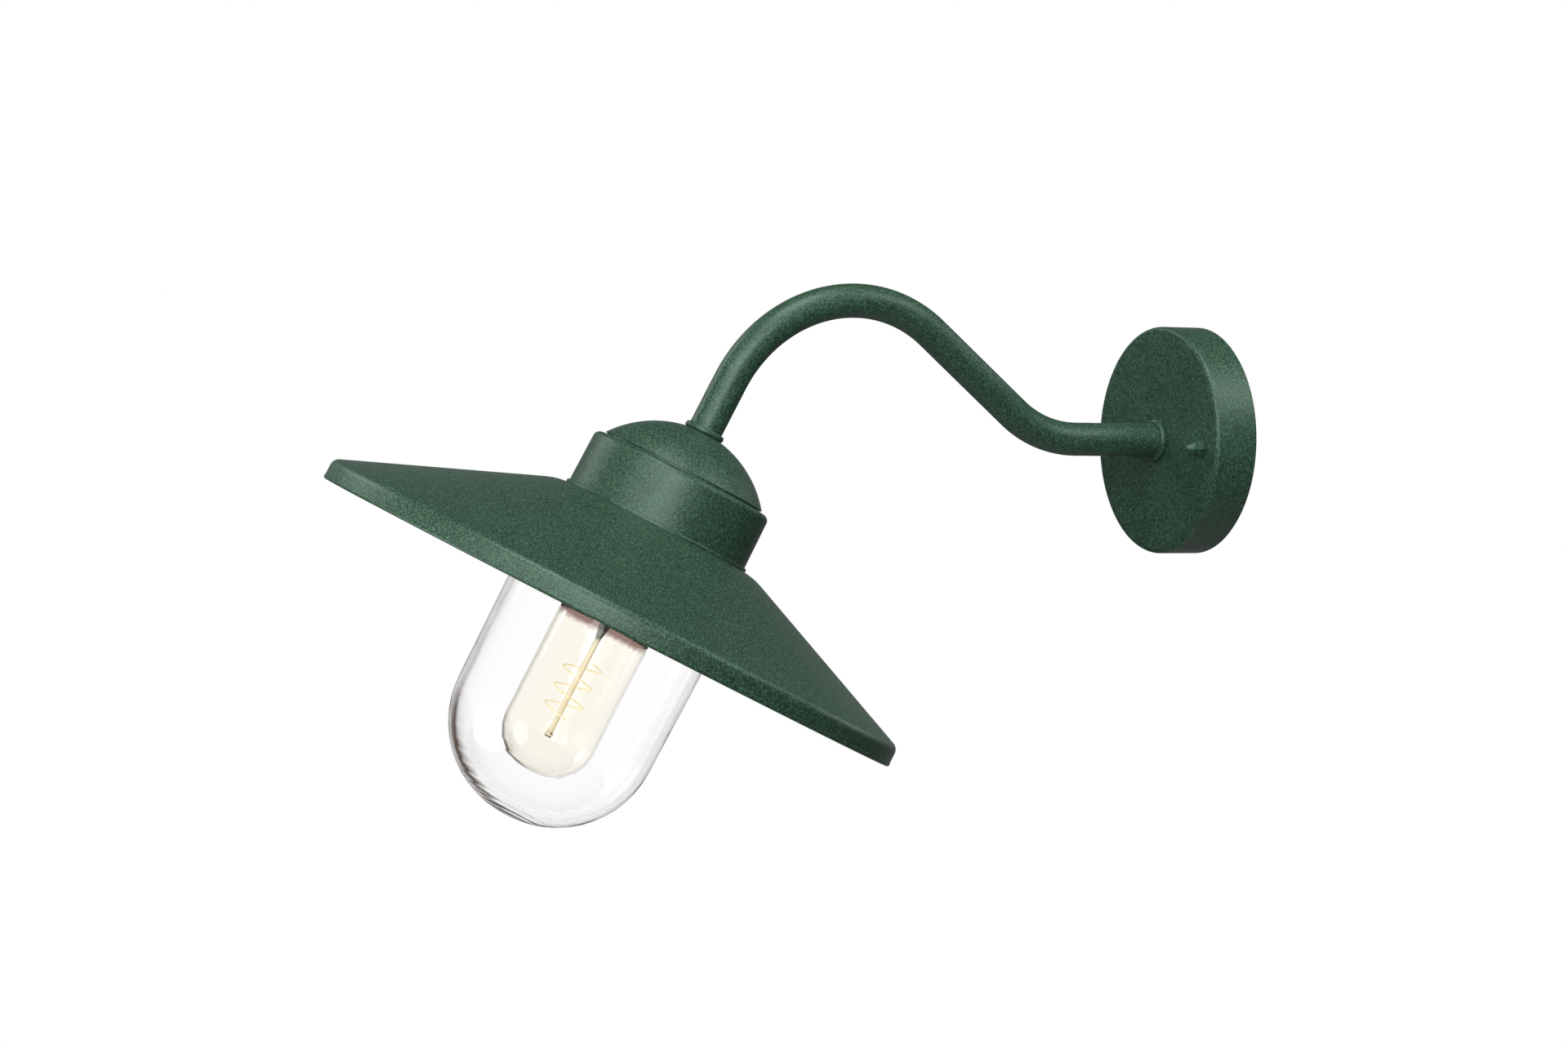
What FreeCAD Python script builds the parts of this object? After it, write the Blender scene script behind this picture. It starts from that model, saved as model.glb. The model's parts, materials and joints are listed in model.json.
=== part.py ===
"""Gooseneck wall lamp with a spun shade over a screw-in glass jar, piece by piece.

Frame: the origin is the centre of the wall plate's back face. +Z is up, -Y points out of the
wall, and the arm bends in the plane X = 0.

Two local frames carry the round pieces. In the wall frame local z runs out of the wall and local
y runs up. In the head frame the origin is the centre of the shade's rim and local z runs up the
lamp's tilted axis. A turned piece is drawn as a half section of (radius, height) corners.
"""
import FreeCAD
import Part
import Sketcher
import math
import os

Vector = FreeCAD.Vector

# Every driving dimension, in millimetres or degrees.
DIMENSIONS = {
    # wall plate
    "plate_radius": 55.0,
    "plate_depth": 22.5,
    "sheet_wall": 1.2,
    "plate_edge_round": 2.0,
    "plate_gasket_thick": 1.0,
    "plate_gasket_inset": 1.0,
    "plate_gasket_width": 4.0,
    # bracket behind the wall plate
    "bracket_thick": 2.0,
    "bracket_inset": 8.0,
    "bracket_half_width": 9.0,
    "bracket_corner": 3.0,
    "tongue_half_width": 16.0,
    "tongue_reach": 33.0,
    "earth_tab_half_width": 8.0,
    "earth_tab_reach": 24.0,
    "earth_screw_drop": 17.0,
    "cable_hole_radius": 8.0,
    "slot_width": 5.2,
    "slot_start": 21.0,
    "slot_to_stud": 4.12,
    # studs and cap nuts that hold the wall plate
    "stud_inset": 13.75,
    "stud_angle": 4.5,
    "stud_radius": 2.0,
    "stud_chamfer": 0.4,
    "stud_recess": 0.2,
    "stud_reach": 6.0,
    "cap_nut_flats": 7.0,
    "cap_nut_hex_height": 3.2,
    "cap_nut_height": 9.0,
    "cap_nut_dome_radius": 2.9,
    "cap_nut_tip_radius": 1.1,
    "cap_nut_straight": 2.0,
    # hollow threaded pipe, its nuts, washers and collars, the same at both ends of the arm
    "pipe_radius": 5.0,
    "pipe_bore": 3.6,
    "pipe_chamfer": 0.4,
    "pipe_in_plug": 10.5,
    "pipe_in_plate": 6.8,
    "collar_radius": 10.0,
    "collar_height": 3.0,
    "collar_round": 1.1,
    "lock_nut_flats": 14.0,
    "lock_nut_height": 3.0,
    "lock_washer_radius": 8.5,
    "lock_washer_thick": 0.8,
    "lock_washer_notch": 1.4,
    "bush_flange_radius": 5.4,
    "bush_flange_thick": 1.2,
    "bush_length": 4.5,
    # arm
    "tube_radius": 8.0,
    "tube_wall": 1.2,
    "plug_length": 13.0,
    "wall_run": 68.0,
    "lower_bend_radius": 58.0,
    "lower_bend_angle": 38.0,
    "middle_run": 61.0,
    "upper_bend_radius": 67.4,
    "upper_bend_angle": 103.0,
    "head_run": 24.5,
    # dome and neck
    "dome_base_inset": 4.13,
    "dome_flat_radius": 9.95,
    "dome_rise": 20.2,
    "dome_wall": 2.0,
    "neck_radius": 45.0,
    "neck_draft": 0.4,
    "neck_height": 27.5,
    "neck_round": 3.0,
    "neck_wall": 2.2,
    "neck_flange_thick": 2.0,
    "neck_flange_width": 8.5,
    "neck_lip_proud": 0.5,
    "neck_lip_height": 1.3,
    "boss_radius": 3.2,
    "boss_height": 12.0,
    # shade
    "shade_radius": 145.0,
    "shade_height": 49.3,
    "crown_proud": 4.87,
    "cone_foot_height": 9.7,
    "shoulder_round": 7.0,
    "crown_round": 30.0,
    "hem_proud": 0.45,
    "hem_height": 1.3,
    "hem_thick": 2.0,
    "hem_round": 0.4,
    # ring that holds the glass, and its screws
    "shade_gasket_thick": 1.0,
    "gallery_flange_inset": 1.0,
    "gallery_flange_thick": 2.5,
    "gallery_barrel_inset": 8.4,
    "gallery_wall": 2.8,
    "gallery_rise": 10.7,
    "gallery_top_thick": 1.4,
    "gallery_mouth_inset": 7.8,
    "gallery_screw_inset": 5.0,
    "gallery_screw_radius": 2.0,
    "gallery_screw_head": 3.4,
    "gallery_screw_head_height": 2.2,
    "gallery_screw_length": 13.0,
    # glass jar
    "jar_neck_round": 3.0,
    "jar_shoulder_gap": 6.6,
    "jar_shoulder_round": 15.0,
    "jar_shoulder_proud": 17.0,
    "jar_taper": 2.4,
    "jar_length": 137.2,
    "jar_foot_flat": 0.5,
    "jar_wall": 3.0,
    "jar_gasket_thick": 1.3,
    "jar_gasket_width": 2.8,
    # lampholder
    "strap_gap": 1.9,
    "strap_half_width": 10.0,
    "strap_thick": 2.0,
    "holder_radius": 19.5,
    "holder_wall": 2.2,
    "holder_mouth_gap": 1.2,
    "holder_drop": 1.3,
    "holder_cap_height": 22.5,
    "holder_body_height": 38.0,
    "holder_boss_radius": 9.0,
    "holder_boss_height": 5.0,
    "holder_round": 3.3,
    "pipe_in_holder": 2.0,
    "holder_core_thick": 6.0,
    "shell_wall": 0.5,
    "shell_rise": 3.0,
    "contact_strip_thick": 0.6,
    "contact_strip_width": 5.0,
    "contact_foot_reach": 6.3,
    "holder_post_reach": 10.0,
    "holder_post_radius": 2.8,
    "holder_post_height": 4.0,
    # light bulb
    "bulb_radius": 22.5,
    "bulb_length": 81.7,
    "bulb_wall": 0.8,
    "bulb_end_round": 20.0,
    "bulb_shoulder_gap": 1.5,
    "bulb_shoulder_round": 9.0,
    "bulb_neck_radius": 12.2,
    "bulb_neck_in_cap": 5.5,
    "bulb_cap_radius": 13.0,
    "bulb_cap_wall": 0.5,
    "bulb_cap_length": 19.8,
    "bulb_cap_slope": 2.9,
    "bulb_cap_top_radius": 9.0,
    "bulb_insulator_height": 2.8,
    "bulb_tip_height": 1.3,
    "bulb_tip_radius": 4.2,
    "bulb_tip_drop": 6.5,
    "stem_flare_radius": 8.5,
    "stem_rod_radius": 1.15,
    "stem_rise": 3.3,
    "stem_funnel": 9.65,
    "stem_throat": 17.0,
    "stem_end_gap": 17.5,
    "stem_bead_radius": 2.0,
    "filament_radius": 8.5,
    "filament_wire": 0.3,
    "filament_rise": 39.0,
    "filament_pitch": 9.3,
    # wiring
    "lead_radius": 2.6,
    "core_radius": 1.1,
    "core_spread": 1.25,
    "core_bend_radius": 3.0,
    "core_run_in": 7.0,
    "core_detour": 16.0,
    "lead_past_bush": 1.8,
    "block_half_length": 13.5,
    "block_foot": 17.0,
    "block_width": 14.0,
    "block_height": 12.0,
    "block_pole_pitch": 9.0,
    "block_wire_height": 4.2,
    "barrel_radius": 2.6,
    "barrel_bore": 1.5,
    "barrel_inset": 1.2,
    "clamp_screw_radius": 1.3,
    "clamp_screw_spread": 3.2,
    "block_screw_radius": 1.2,
    "block_screw_head": 2.1,
    "earth_screw_radius": 1.95,
    "earth_screw_head": 3.8,
    "earth_screw_head_height": 2.4,
    "lug_radius": 4.2,
    "lug_thick": 0.8,
    "lug_barrel_radius": 1.6,
    "lug_barrel_length": 6.0,
    # clearances
    "thread_gap": 0.05,
    "hole_gap": 0.3,
    "turn_gap": 0.3,
    "seal_gap": 0.12,
}

SCREW_COUNT = 3
SCREW_START = 90.0
WASHER_NOTCHES = 10
FILAMENT_TURNS = 3
ARCS_PER_TURN = 4
POINTS_PER_TURN = 48
# Share of the shorter run that a wire's arc may take up.
ARC_SHARE = 0.45

doc = FreeCAD.newDocument("wall_lamp")
sheet = doc.addObject("Spreadsheet::Sheet", "Sizes")
nodes = []


class Size:
    """A number together with the spreadsheet formula that gives it."""

    def __init__(self, number, formula):
        self.number = number
        self.formula = formula

    def joined(self, sign, other, number):
        """The result of self, an arithmetic sign and other."""
        text = other.formula if isinstance(other, Size) else str(float(other))
        return Size(number, "(%s %s %s)" % (self.formula, sign, text))

    def __float__(self):
        return self.number

    def __add__(self, other):
        return self.joined("+", other, self.number + float(other))

    def __sub__(self, other):
        return self.joined("-", other, self.number - float(other))

    def __mul__(self, other):
        return self.joined("*", other, self.number * float(other))

    def __truediv__(self, other):
        return self.joined("/", other, self.number / float(other))

    def __neg__(self):
        return Size(-self.number, "(0 - %s)" % self.formula)

    def __radd__(self, other):
        return fixed(other) + self

    def __rsub__(self, other):
        return fixed(other) - self


def fixed(number):
    """A plain number that can stand in a formula."""
    return Size(float(number), str(float(number)))


def sine(angle):
    """Sine of an angle in degrees."""
    return Size(math.sin(math.radians(angle.number)), "sin(%s)" % angle.formula)


def cosine(angle):
    """Cosine of an angle in degrees."""
    return Size(math.cos(math.radians(angle.number)), "cos(%s)" % angle.formula)


def tangent(angle):
    """Tangent of an angle in degrees."""
    return Size(math.tan(math.radians(angle.number)), "tan(%s)" % angle.formula)


def root(size):
    """Square root of a size."""
    return Size(math.sqrt(size.number), "sqrt(%s)" % size.formula)


class Sheet:
    """The driving dimensions as attributes, each one bound to its spreadsheet cell."""

    def __init__(self, dimensions):
        self.rows = 0
        for alias, value in dimensions.items():
            setattr(self, alias, self.cell(alias, str(value), value))

    def cell(self, alias, text, number):
        """Fill the next row of the spreadsheet, and give the size that stands there."""
        self.rows += 1
        sheet.set("A%d" % self.rows, alias)
        sheet.set("B%d" % self.rows, text)
        sheet.setAlias("B%d" % self.rows, alias)
        return Size(number, "Sizes.%s" % alias)


d = Sheet(DIMENSIONS)


def derived(alias, size):
    """A size worked out from others, in a spreadsheet cell of its own."""
    return d.cell(alias, "=" + size.formula.replace("Sizes.", ""), size.number)


# --- drawing -------------------------------------------------------------------------------

class Corner:
    """A corner of an outline: rounded by round, or left along an arc of radius arc."""

    def __init__(self, x, y, round=0, arc=0):
        self.x = x
        self.y = y
        self.round = round
        self.arc = arc
        self.point = Vector(float(x), float(y), 0)


def as_corners(points):
    """Corners from a mix of Corner objects and plain (x, y[, round]) tuples."""
    return [point if isinstance(point, Corner) else Corner(*point) for point in points]


def bind(obj, path, size):
    """Bind a property of an object to its spreadsheet formula."""
    if isinstance(size, Size):
        obj.setExpression(path, size.formula)


def arc_between(start, end, centre):
    """Arc of a circle and whether it runs counter-clockwise from start to end."""
    first = start - centre
    last = end - centre
    forward = first.x * last.y - first.y * last.x > 0
    if not forward:
        first, last = last, first
    circle = Part.Circle(centre, Vector(0, 0, 1), first.Length)
    start_angle = math.atan2(first.y, first.x)
    end_angle = math.atan2(last.y, last.x)
    if end_angle < start_angle:
        end_angle += 2 * math.pi
    return Part.ArcOfCircle(circle, start_angle, end_angle), forward


class Tracer:
    """Draws an outline in a sketch and ties each corner and radius to the sheet."""

    def __init__(self, sketch):
        self.sketch = sketch
        self.constraints = []
        self.formulas = []

    def hold(self, *terms, size=None):
        """Note a constraint, with the size that drives it."""
        self.constraints.append(Sketcher.Constraint(*terms))
        self.formulas.append(size)

    def pin(self, shape, end, x, y):
        """Hold the point of a shape at x, y."""
        for kind, axis, value in (("DistanceX", -2, x), ("DistanceY", -1, y)):
            if isinstance(value, Size):
                self.hold(kind, -1, 1, shape, end, float(value), size=value)
            elif value == 0:
                self.hold("PointOnObject", shape, end, axis)
            else:
                self.hold(kind, -1, 1, shape, end, float(value))

    def finish(self):
        """Add what was noted, in one go, and bind it."""
        for index, size in zip(self.sketch.addConstraint(self.constraints), self.formulas):
            bind(self.sketch, "Constraints[%d]" % index, size)

    def trace(self, points, closed=True):
        """Draw the outline through the corners."""
        corners = as_corners(points)
        count = len(corners)
        entries = []
        exits = []
        centres = []
        for index, corner in enumerate(corners):
            entry = leave = corner.point
            centre = None
            if corner.round:
                back = (corners[index - 1].point - corner.point).normalize()
                ahead = (corners[(index + 1) % count].point - corner.point).normalize()
                half = back.getAngle(ahead) / 2
                reach = float(corner.round) / math.tan(half)
                entry = corner.point + back * reach
                leave = corner.point + ahead * reach
                centre = corner.point + (back + ahead).normalize() * (float(corner.round) / math.sin(half))
            entries.append(entry)
            exits.append(leave)
            centres.append(centre)
        edges = []
        for index in range(count if closed else count - 1):
            start = exits[index]
            end = entries[(index + 1) % count]
            edges.append(self.edge(start, end, corners[index].arc))
        for index, corner in enumerate(corners):
            if not closed and index in (0, count - 1):
                shape, start_end, far_end = edges[0] if index == 0 else edges[-1]
                self.pin(shape, start_end if index == 0 else far_end, corner.x, corner.y)
                continue
            before = edges[index - 1]
            after = edges[index]
            if not corner.round:
                self.hold("Coincident", before[0], before[2], after[0], after[1])
                self.pin(after[0], after[1], corner.x, corner.y)
                continue
            mark = self.sketch.addGeometry(Part.Point(corner.point), True)
            self.pin(mark, 1, corner.x, corner.y)
            self.hold("PointOnObject", mark, 1, before[0])
            self.hold("PointOnObject", mark, 1, after[0])
            arc, forward = arc_between(entries[index], exits[index], centres[index])
            shape = self.sketch.addGeometry(arc, False)
            self.hold("Tangent", before[0], before[2], shape, 1 if forward else 2)
            self.hold("Tangent", shape, 2 if forward else 1, after[0], after[1])
            self.hold("Radius", shape, float(corner.round), size=corner.round)

    def edge(self, start, end, radius):
        """A line or an arc; a positive radius keeps the centre on the left."""
        if not radius:
            return self.sketch.addGeometry(Part.LineSegment(start, end), False), 1, 2
        half = (end - start) * 0.5
        side = Vector(-half.y, half.x, 0).normalize()
        size = abs(float(radius))
        offset = math.sqrt(size * size - half.Length * half.Length)
        centre = start + half + side * math.copysign(offset, float(radius))
        arc, forward = arc_between(start, end, centre)
        shape = self.sketch.addGeometry(arc, False)
        bound = radius if float(radius) > 0 else -radius
        self.hold("Radius", shape, size, size=bound)
        return (shape, 1, 2) if forward else (shape, 2, 1)

    def circle(self, x, y, radius):
        """Draw a full circle."""
        centre = Vector(float(x), float(y), 0)
        shape = self.sketch.addGeometry(Part.Circle(centre, Vector(0, 0, 1), float(radius)), False)
        self.pin(shape, 3, x, y)
        self.hold("Radius", shape, float(radius), size=radius)

    def slot(self, x, y, length, width):
        """Draw a round-ended slot along x, centred on x, y."""
        radius = width / 2
        reach = length / 2 - radius
        ends = (Vector(float(x - reach), float(y), 0), Vector(float(x + reach), float(y), 0))
        rise = Vector(0, float(radius), 0)
        left = Part.Circle(ends[0], Vector(0, 0, 1), float(radius))
        right = Part.Circle(ends[1], Vector(0, 0, 1), float(radius))
        left_arc = self.sketch.addGeometry(Part.ArcOfCircle(left, math.pi / 2, 3 * math.pi / 2), False)
        right_arc = self.sketch.addGeometry(Part.ArcOfCircle(right, -math.pi / 2, math.pi / 2), False)
        lower = self.sketch.addGeometry(Part.LineSegment(ends[0] - rise, ends[1] - rise), False)
        upper = self.sketch.addGeometry(Part.LineSegment(ends[1] + rise, ends[0] + rise), False)
        self.hold("Tangent", left_arc, 2, lower, 1)
        self.hold("Tangent", lower, 2, right_arc, 1)
        self.hold("Tangent", right_arc, 2, upper, 1)
        self.hold("Tangent", upper, 2, left_arc, 1)
        self.hold("Radius", left_arc, float(radius), size=radius)
        self.pin(left_arc, 3, x - reach, y)
        self.hold("DistanceX", -1, 1, right_arc, 3, float(x + reach), size=x + reach)


def sketch_on(body, plane, name, height=0):
    """A new sketch on one of the body's own origin planes, raised by height along its normal."""
    sketch = body.newObject("Sketcher::SketchObject", name)
    support = next(item for item in body.Origin.OriginFeatures if item.Role == plane)
    sketch.AttachmentSupport = [(support, "")]
    sketch.MapMode = "FlatFace"
    if height:
        sketch.AttachmentOffset = FreeCAD.Placement(Vector(0, 0, float(height)), FreeCAD.Rotation())
        bind(sketch, "AttachmentOffset.Base.z", height)
    return sketch


def profile(body, plane, name, points, height=0, closed=True):
    """A sketch that holds one outline."""
    sketch = sketch_on(body, plane, name, height)
    tracer = Tracer(sketch)
    tracer.trace(points, closed)
    tracer.finish()
    return sketch


# --- pieces --------------------------------------------------------------------------------

def turned(name, points):
    """A body of revolution about its own z axis, from its half section."""
    body = doc.addObject("PartDesign::Body", name)
    section = profile(body, "XZ_Plane", name + "_section", points)
    turn = body.newObject("PartDesign::Revolution", name + "_turn")
    turn.Profile = section
    turn.ReferenceAxis = (section, ["V_Axis"])
    turn.Angle = 360
    return body


def ring(name, inner, outer, bottom, top, outer_round=0):
    """A plain turned ring; its outer edges can be rounded."""
    return turned(name, [
        (inner, bottom),
        (outer, bottom, outer_round),
        (outer, top, outer_round),
        (inner, top),
    ])


def plate(name, points, thick, plane="XY_Plane", height=0):
    """A flat body of the given outline, thick along the plane's normal."""
    body = doc.addObject("PartDesign::Body", name)
    pad = body.newObject("PartDesign::Pad", name + "_pad")
    pad.Profile = profile(body, plane, name + "_outline", points, height)
    pad.Length = float(thick)
    bind(pad, "Length", thick)
    return body


def patterned(body, feature, count, name):
    """Repeat a feature round the body's z axis."""
    pattern = body.newObject("PartDesign::PolarPattern", name)
    pattern.Originals = [feature]
    axis = next(item for item in body.Origin.OriginFeatures if item.Role == "Z_Axis")
    pattern.Axis = (axis, [""])
    pattern.Angle = 360
    pattern.Occurrences = count
    body.Tip = pattern


def drilled(body, name, circles, count=1):
    """Bore round holes (x, y, radius) right through the body along z."""
    sketch = sketch_on(body, "XY_Plane", name + "_sketch")
    tracer = Tracer(sketch)
    for circle in circles:
        tracer.circle(*circle)
    tracer.finish()
    pocket = body.newObject("PartDesign::Pocket", name)
    pocket.Profile = sketch
    pocket.Type = "ThroughAll"
    pocket.SideType = "Symmetric"
    if count > 1:
        patterned(body, pocket, count, name + "_ring")


def cylinder(name, radius, length, x=0, y=0, z=0, axis="z"):
    """A plain rod that starts at x, y, z and runs along one axis."""
    rod = doc.addObject("Part::Cylinder", name)
    rod.Radius = float(radius)
    rod.Height = float(length)
    bind(rod, "Radius", radius)
    bind(rod, "Height", length)
    turn = {"x": (Vector(0, 1, 0), 90), "y": (Vector(1, 0, 0), -90), "z": (Vector(0, 0, 1), 0)}[axis]
    rod.Placement = FreeCAD.Placement(Vector(), FreeCAD.Rotation(*turn))
    return moved(rod, x, y, z)


def block(name, x, y, z, length, width, height):
    """A box from its low corner."""
    box = doc.addObject("Part::Box", name)
    for path, size in (("Length", length), ("Width", width), ("Height", height)):
        setattr(box, path, float(size))
        bind(box, path, size)
    return moved(box, x, y, z)


def moved(obj, x=0, y=0, z=0):
    """Shift an object to x, y, z in its own frame."""
    obj.Placement.Base = Vector(float(x), float(y), float(z))
    for axis, value in (("x", x), ("y", y), ("z", z)):
        bind(obj, "Placement.Base." + axis, value)
    return obj


def gathered(name, pieces, kind="Part::Compound", links="Links"):
    """One object that holds several pieces."""
    group = doc.addObject(kind, name)
    setattr(group, links, pieces)
    return group


def fused(name, pieces):
    """Pieces joined into one solid."""
    return gathered(name, pieces, "Part::MultiFuse", "Shapes")


def cut(name, base, tools):
    """The base with the tools taken away."""
    result = doc.addObject("Part::Cut", name)
    result.Base = base
    result.Tool = tools[0] if len(tools) == 1 else gathered(name + "_tools", tools)
    return result


def hex_bar(name, flats, height, z):
    """A hexagonal prism about z."""
    prism = doc.addObject("Part::Prism", name)
    prism.Polygon = 6
    across_corners = flats / root(fixed(3))
    prism.Circumradius = float(across_corners)
    prism.Height = float(height)
    bind(prism, "Circumradius", across_corners)
    bind(prism, "Height", height)
    return moved(prism, 0, 0, z)


def rounded_wire(points, radius):
    """A path of straight runs joined by tangent arcs, each as large as radius or its runs allow."""
    edges = []
    start = points[0]
    for before, corner, after in zip(points, points[1:], points[2:]):
        back = (before - corner).normalize()
        ahead = (after - corner).normalize()
        half = back.getAngle(ahead) / 2
        room = ARC_SHARE * min((before - corner).Length, (after - corner).Length)
        reach = min(radius / math.tan(half), room)
        size = reach * math.tan(half)
        centre = corner + (back + ahead).normalize() * (size / math.sin(half))
        entry = corner + back * reach
        leave = corner + ahead * reach
        middle = centre + (corner - centre).normalize() * size
        edges.append(Part.LineSegment(start, entry).toShape())
        edges.append(Part.Arc(entry, middle, leave).toShape())
        start = leave
    edges.append(Part.LineSegment(start, points[-1]).toShape())
    return Part.Wire(edges)


def tube_along(wire, radius):
    """A solid round wire of the given radius along a path."""
    first = wire.Edges[0]
    start = first.valueAt(first.FirstParameter)
    direction = first.tangentAt(first.FirstParameter)
    circle = Part.Wire([Part.Circle(start, direction, float(radius)).toShape()])
    return wire.makePipeShell([circle], True, False)


def shaped(name, shapes):
    """An object that holds shapes made from the sheet's values."""
    feature = doc.addObject("Part::Feature", name)
    feature.Shape = shapes[0] if len(shapes) == 1 else Part.makeCompound(shapes)
    return feature


def finish(obj):
    """List an object as a sub-part of the lamp."""
    nodes.append(obj)
    return obj


def on_wall(obj):
    """Place a sub-part in the wall frame."""
    obj.Placement = FreeCAD.Placement(Vector(), FreeCAD.Rotation(Vector(1, 0, 0), 90))
    return finish(obj)


def in_head(obj):
    """Place a sub-part in the head frame."""
    turn = FreeCAD.Rotation(Vector(-1, 0, 0), float(head_tilt))
    obj.Placement = FreeCAD.Placement(Vector(0, float(head_y), float(head_z)), turn)
    if obj.TypeId != "Part::Feature":
        bind(obj, "Placement.Base.y", head_y)
        bind(obj, "Placement.Base.z", head_z)
        bind(obj, "Placement.Rotation.Angle", head_tilt)
    return finish(obj)


# --- heights on the lamp's axis, from the rim ----------------------------------------------

pipe_hole = d.pipe_radius + d.thread_gap
neck_top = derived("neck_top", d.shade_height + d.neck_height)
dome_height = derived("dome_height", neck_top + d.dome_rise)
plate_bottom = derived("plate_bottom", d.shade_height - d.sheet_wall)
flange_top = derived("flange_top", plate_bottom - d.shade_gasket_thick)
flange_bottom = derived("flange_bottom", flange_top - d.gallery_flange_thick)
gallery_top = derived("gallery_top", d.shade_height + d.gallery_rise)
jar_shoulder_height = derived("jar_shoulder_height", flange_bottom - d.jar_shoulder_gap)
jar_end = derived("jar_end", jar_shoulder_height - d.jar_length)
strap_top = derived("strap_top", neck_top - d.neck_flange_thick)
strap_nut_foot = derived("strap_nut_foot", strap_top - d.strap_thick - d.lock_nut_height)
holder_top = derived("holder_top", strap_nut_foot - d.holder_drop)
holder_joint = derived("holder_joint", holder_top - d.holder_cap_height)
holder_mouth = derived("holder_mouth", holder_joint - d.holder_body_height)
core_foot = derived("core_foot", holder_joint - d.holder_core_thick)
bulb_tip = derived("bulb_tip", core_foot - d.bulb_tip_drop)
bulb_insulator_top = derived("bulb_insulator_top", bulb_tip - d.bulb_tip_height)
bulb_cap_top = derived("bulb_cap_top", bulb_insulator_top - d.bulb_insulator_height)
bulb_cap_shoulder = derived("bulb_cap_shoulder", bulb_cap_top - d.bulb_cap_slope)
bulb_cap_foot = derived("bulb_cap_foot", bulb_cap_shoulder - d.bulb_cap_length)
bulb_shoulder_height = derived("bulb_shoulder_height", bulb_cap_foot - d.bulb_shoulder_gap)
bulb_end = derived("bulb_end", bulb_shoulder_height - d.bulb_length)
stem_top = derived("stem_top", bulb_shoulder_height + d.stem_rise)
stem_end = derived("stem_end", bulb_end + d.stem_end_gap)
filament_top = derived("filament_top", stem_end + d.filament_rise)


# --- the arm's centre line, which places the head ------------------------------------------

head_tilt = 90 - (d.upper_bend_angle - d.lower_bend_angle)
lower_tangent = d.lower_bend_radius * tangent(d.lower_bend_angle / 2)
upper_tangent = d.upper_bend_radius * tangent(d.upper_bend_angle / 2)
climb = lower_tangent + d.middle_run + upper_tangent
fall = upper_tangent + d.head_run
tube_end = derived("tube_end", dome_height + d.collar_height)

lower_corner_y = -(d.wall_run + lower_tangent)
upper_corner_y = lower_corner_y - climb * cosine(d.lower_bend_angle)
upper_corner_z = climb * sine(d.lower_bend_angle)
head_y = upper_corner_y - (fall + tube_end) * sine(head_tilt)
head_z = upper_corner_z - (fall + tube_end) * cosine(head_tilt)


def arm_path(body, name, wall_end, head_height):
    """Sketch of the arm's centre line between two places on its end axes."""
    return profile(body, "YZ_Plane", name, [
        (-wall_end, 0),
        (lower_corner_y, 0, d.lower_bend_radius),
        (upper_corner_y, upper_corner_z, d.upper_bend_radius),
        (head_y + head_height * sine(head_tilt), head_z + head_height * cosine(head_tilt)),
    ], closed=False)


def swept_along_arm(name, circles, wall_end, head_height):
    """A body whose round section follows the arm."""
    body = doc.addObject("PartDesign::Body", name)
    section = sketch_on(body, "XZ_Plane", name + "_section", wall_end)
    tracer = Tracer(section)
    for radius in circles:
        tracer.circle(0, 0, radius)
    tracer.finish()
    sweep = body.newObject("PartDesign::AdditivePipe", name + "_sweep")
    sweep.Profile = section
    sweep.Spine = (arm_path(body, name + "_path", wall_end, head_height), [])
    return finish(body)


# --- wall end ------------------------------------------------------------------------------

plate_inside = d.plate_depth - d.sheet_wall
stud_circle = d.plate_radius - d.stud_inset
stud_x = derived("stud_x", stud_circle * cosine(d.stud_angle))
stud_y = derived("stud_y", stud_circle * sine(d.stud_angle))
stud_places = [(stud_x, stud_y), (-stud_x, -stud_y)]
slot_end = stud_x - d.stud_radius - d.slot_to_stud
slot_length = derived("slot_length", slot_end - d.slot_start)
slot_x = derived("slot_x", (slot_end + d.slot_start) / 2)


def make_wall_gasket():
    """Foam ring between the wall plate's edge and the wall."""
    outer = d.plate_radius - d.plate_gasket_inset
    on_wall(ring("wall_gasket", outer - d.plate_gasket_width, outer, 0, d.plate_gasket_thick))


def make_bracket():
    """Flat steel cross: two slots for wall screws, two studs, a terminal tongue, an earth tab."""
    reach = d.plate_radius - d.bracket_inset
    half, corner = d.bracket_half_width, d.bracket_corner
    inner_corner = corner / 2
    body = plate("mounting_bracket", [
        (-reach, -half, corner),
        (-d.earth_tab_half_width, -half, inner_corner),
        (-d.earth_tab_half_width, -d.earth_tab_reach, corner),
        (d.earth_tab_half_width, -d.earth_tab_reach, corner),
        (d.earth_tab_half_width, -half, inner_corner),
        (reach, -half, corner),
        (reach, half, corner),
        (d.tongue_half_width, half, inner_corner),
        (d.tongue_half_width, d.tongue_reach, corner),
        (-d.tongue_half_width, d.tongue_reach, corner),
        (-d.tongue_half_width, half, inner_corner),
        (-reach, half, corner),
    ], d.bracket_thick)
    holes = [(x, y, d.stud_radius) for x, y in stud_places]
    holes.append((0, 0, d.cable_hole_radius))
    holes.append((0, -d.earth_screw_drop, d.earth_screw_radius))
    holes.append((block_screw_x, block_middle, d.block_screw_radius))
    drilled(body, "bracket_holes", holes)
    sketch = sketch_on(body, "XY_Plane", "bracket_slots_sketch")
    tracer = Tracer(sketch)
    tracer.slot(slot_x, 0, slot_length, d.slot_width)
    tracer.slot(-slot_x, 0, slot_length, d.slot_width)
    tracer.finish()
    slots = body.newObject("PartDesign::Pocket", "bracket_slots")
    slots.Profile = sketch
    slots.Type = "ThroughAll"
    slots.SideType = "Symmetric"
    on_wall(body)


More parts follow.
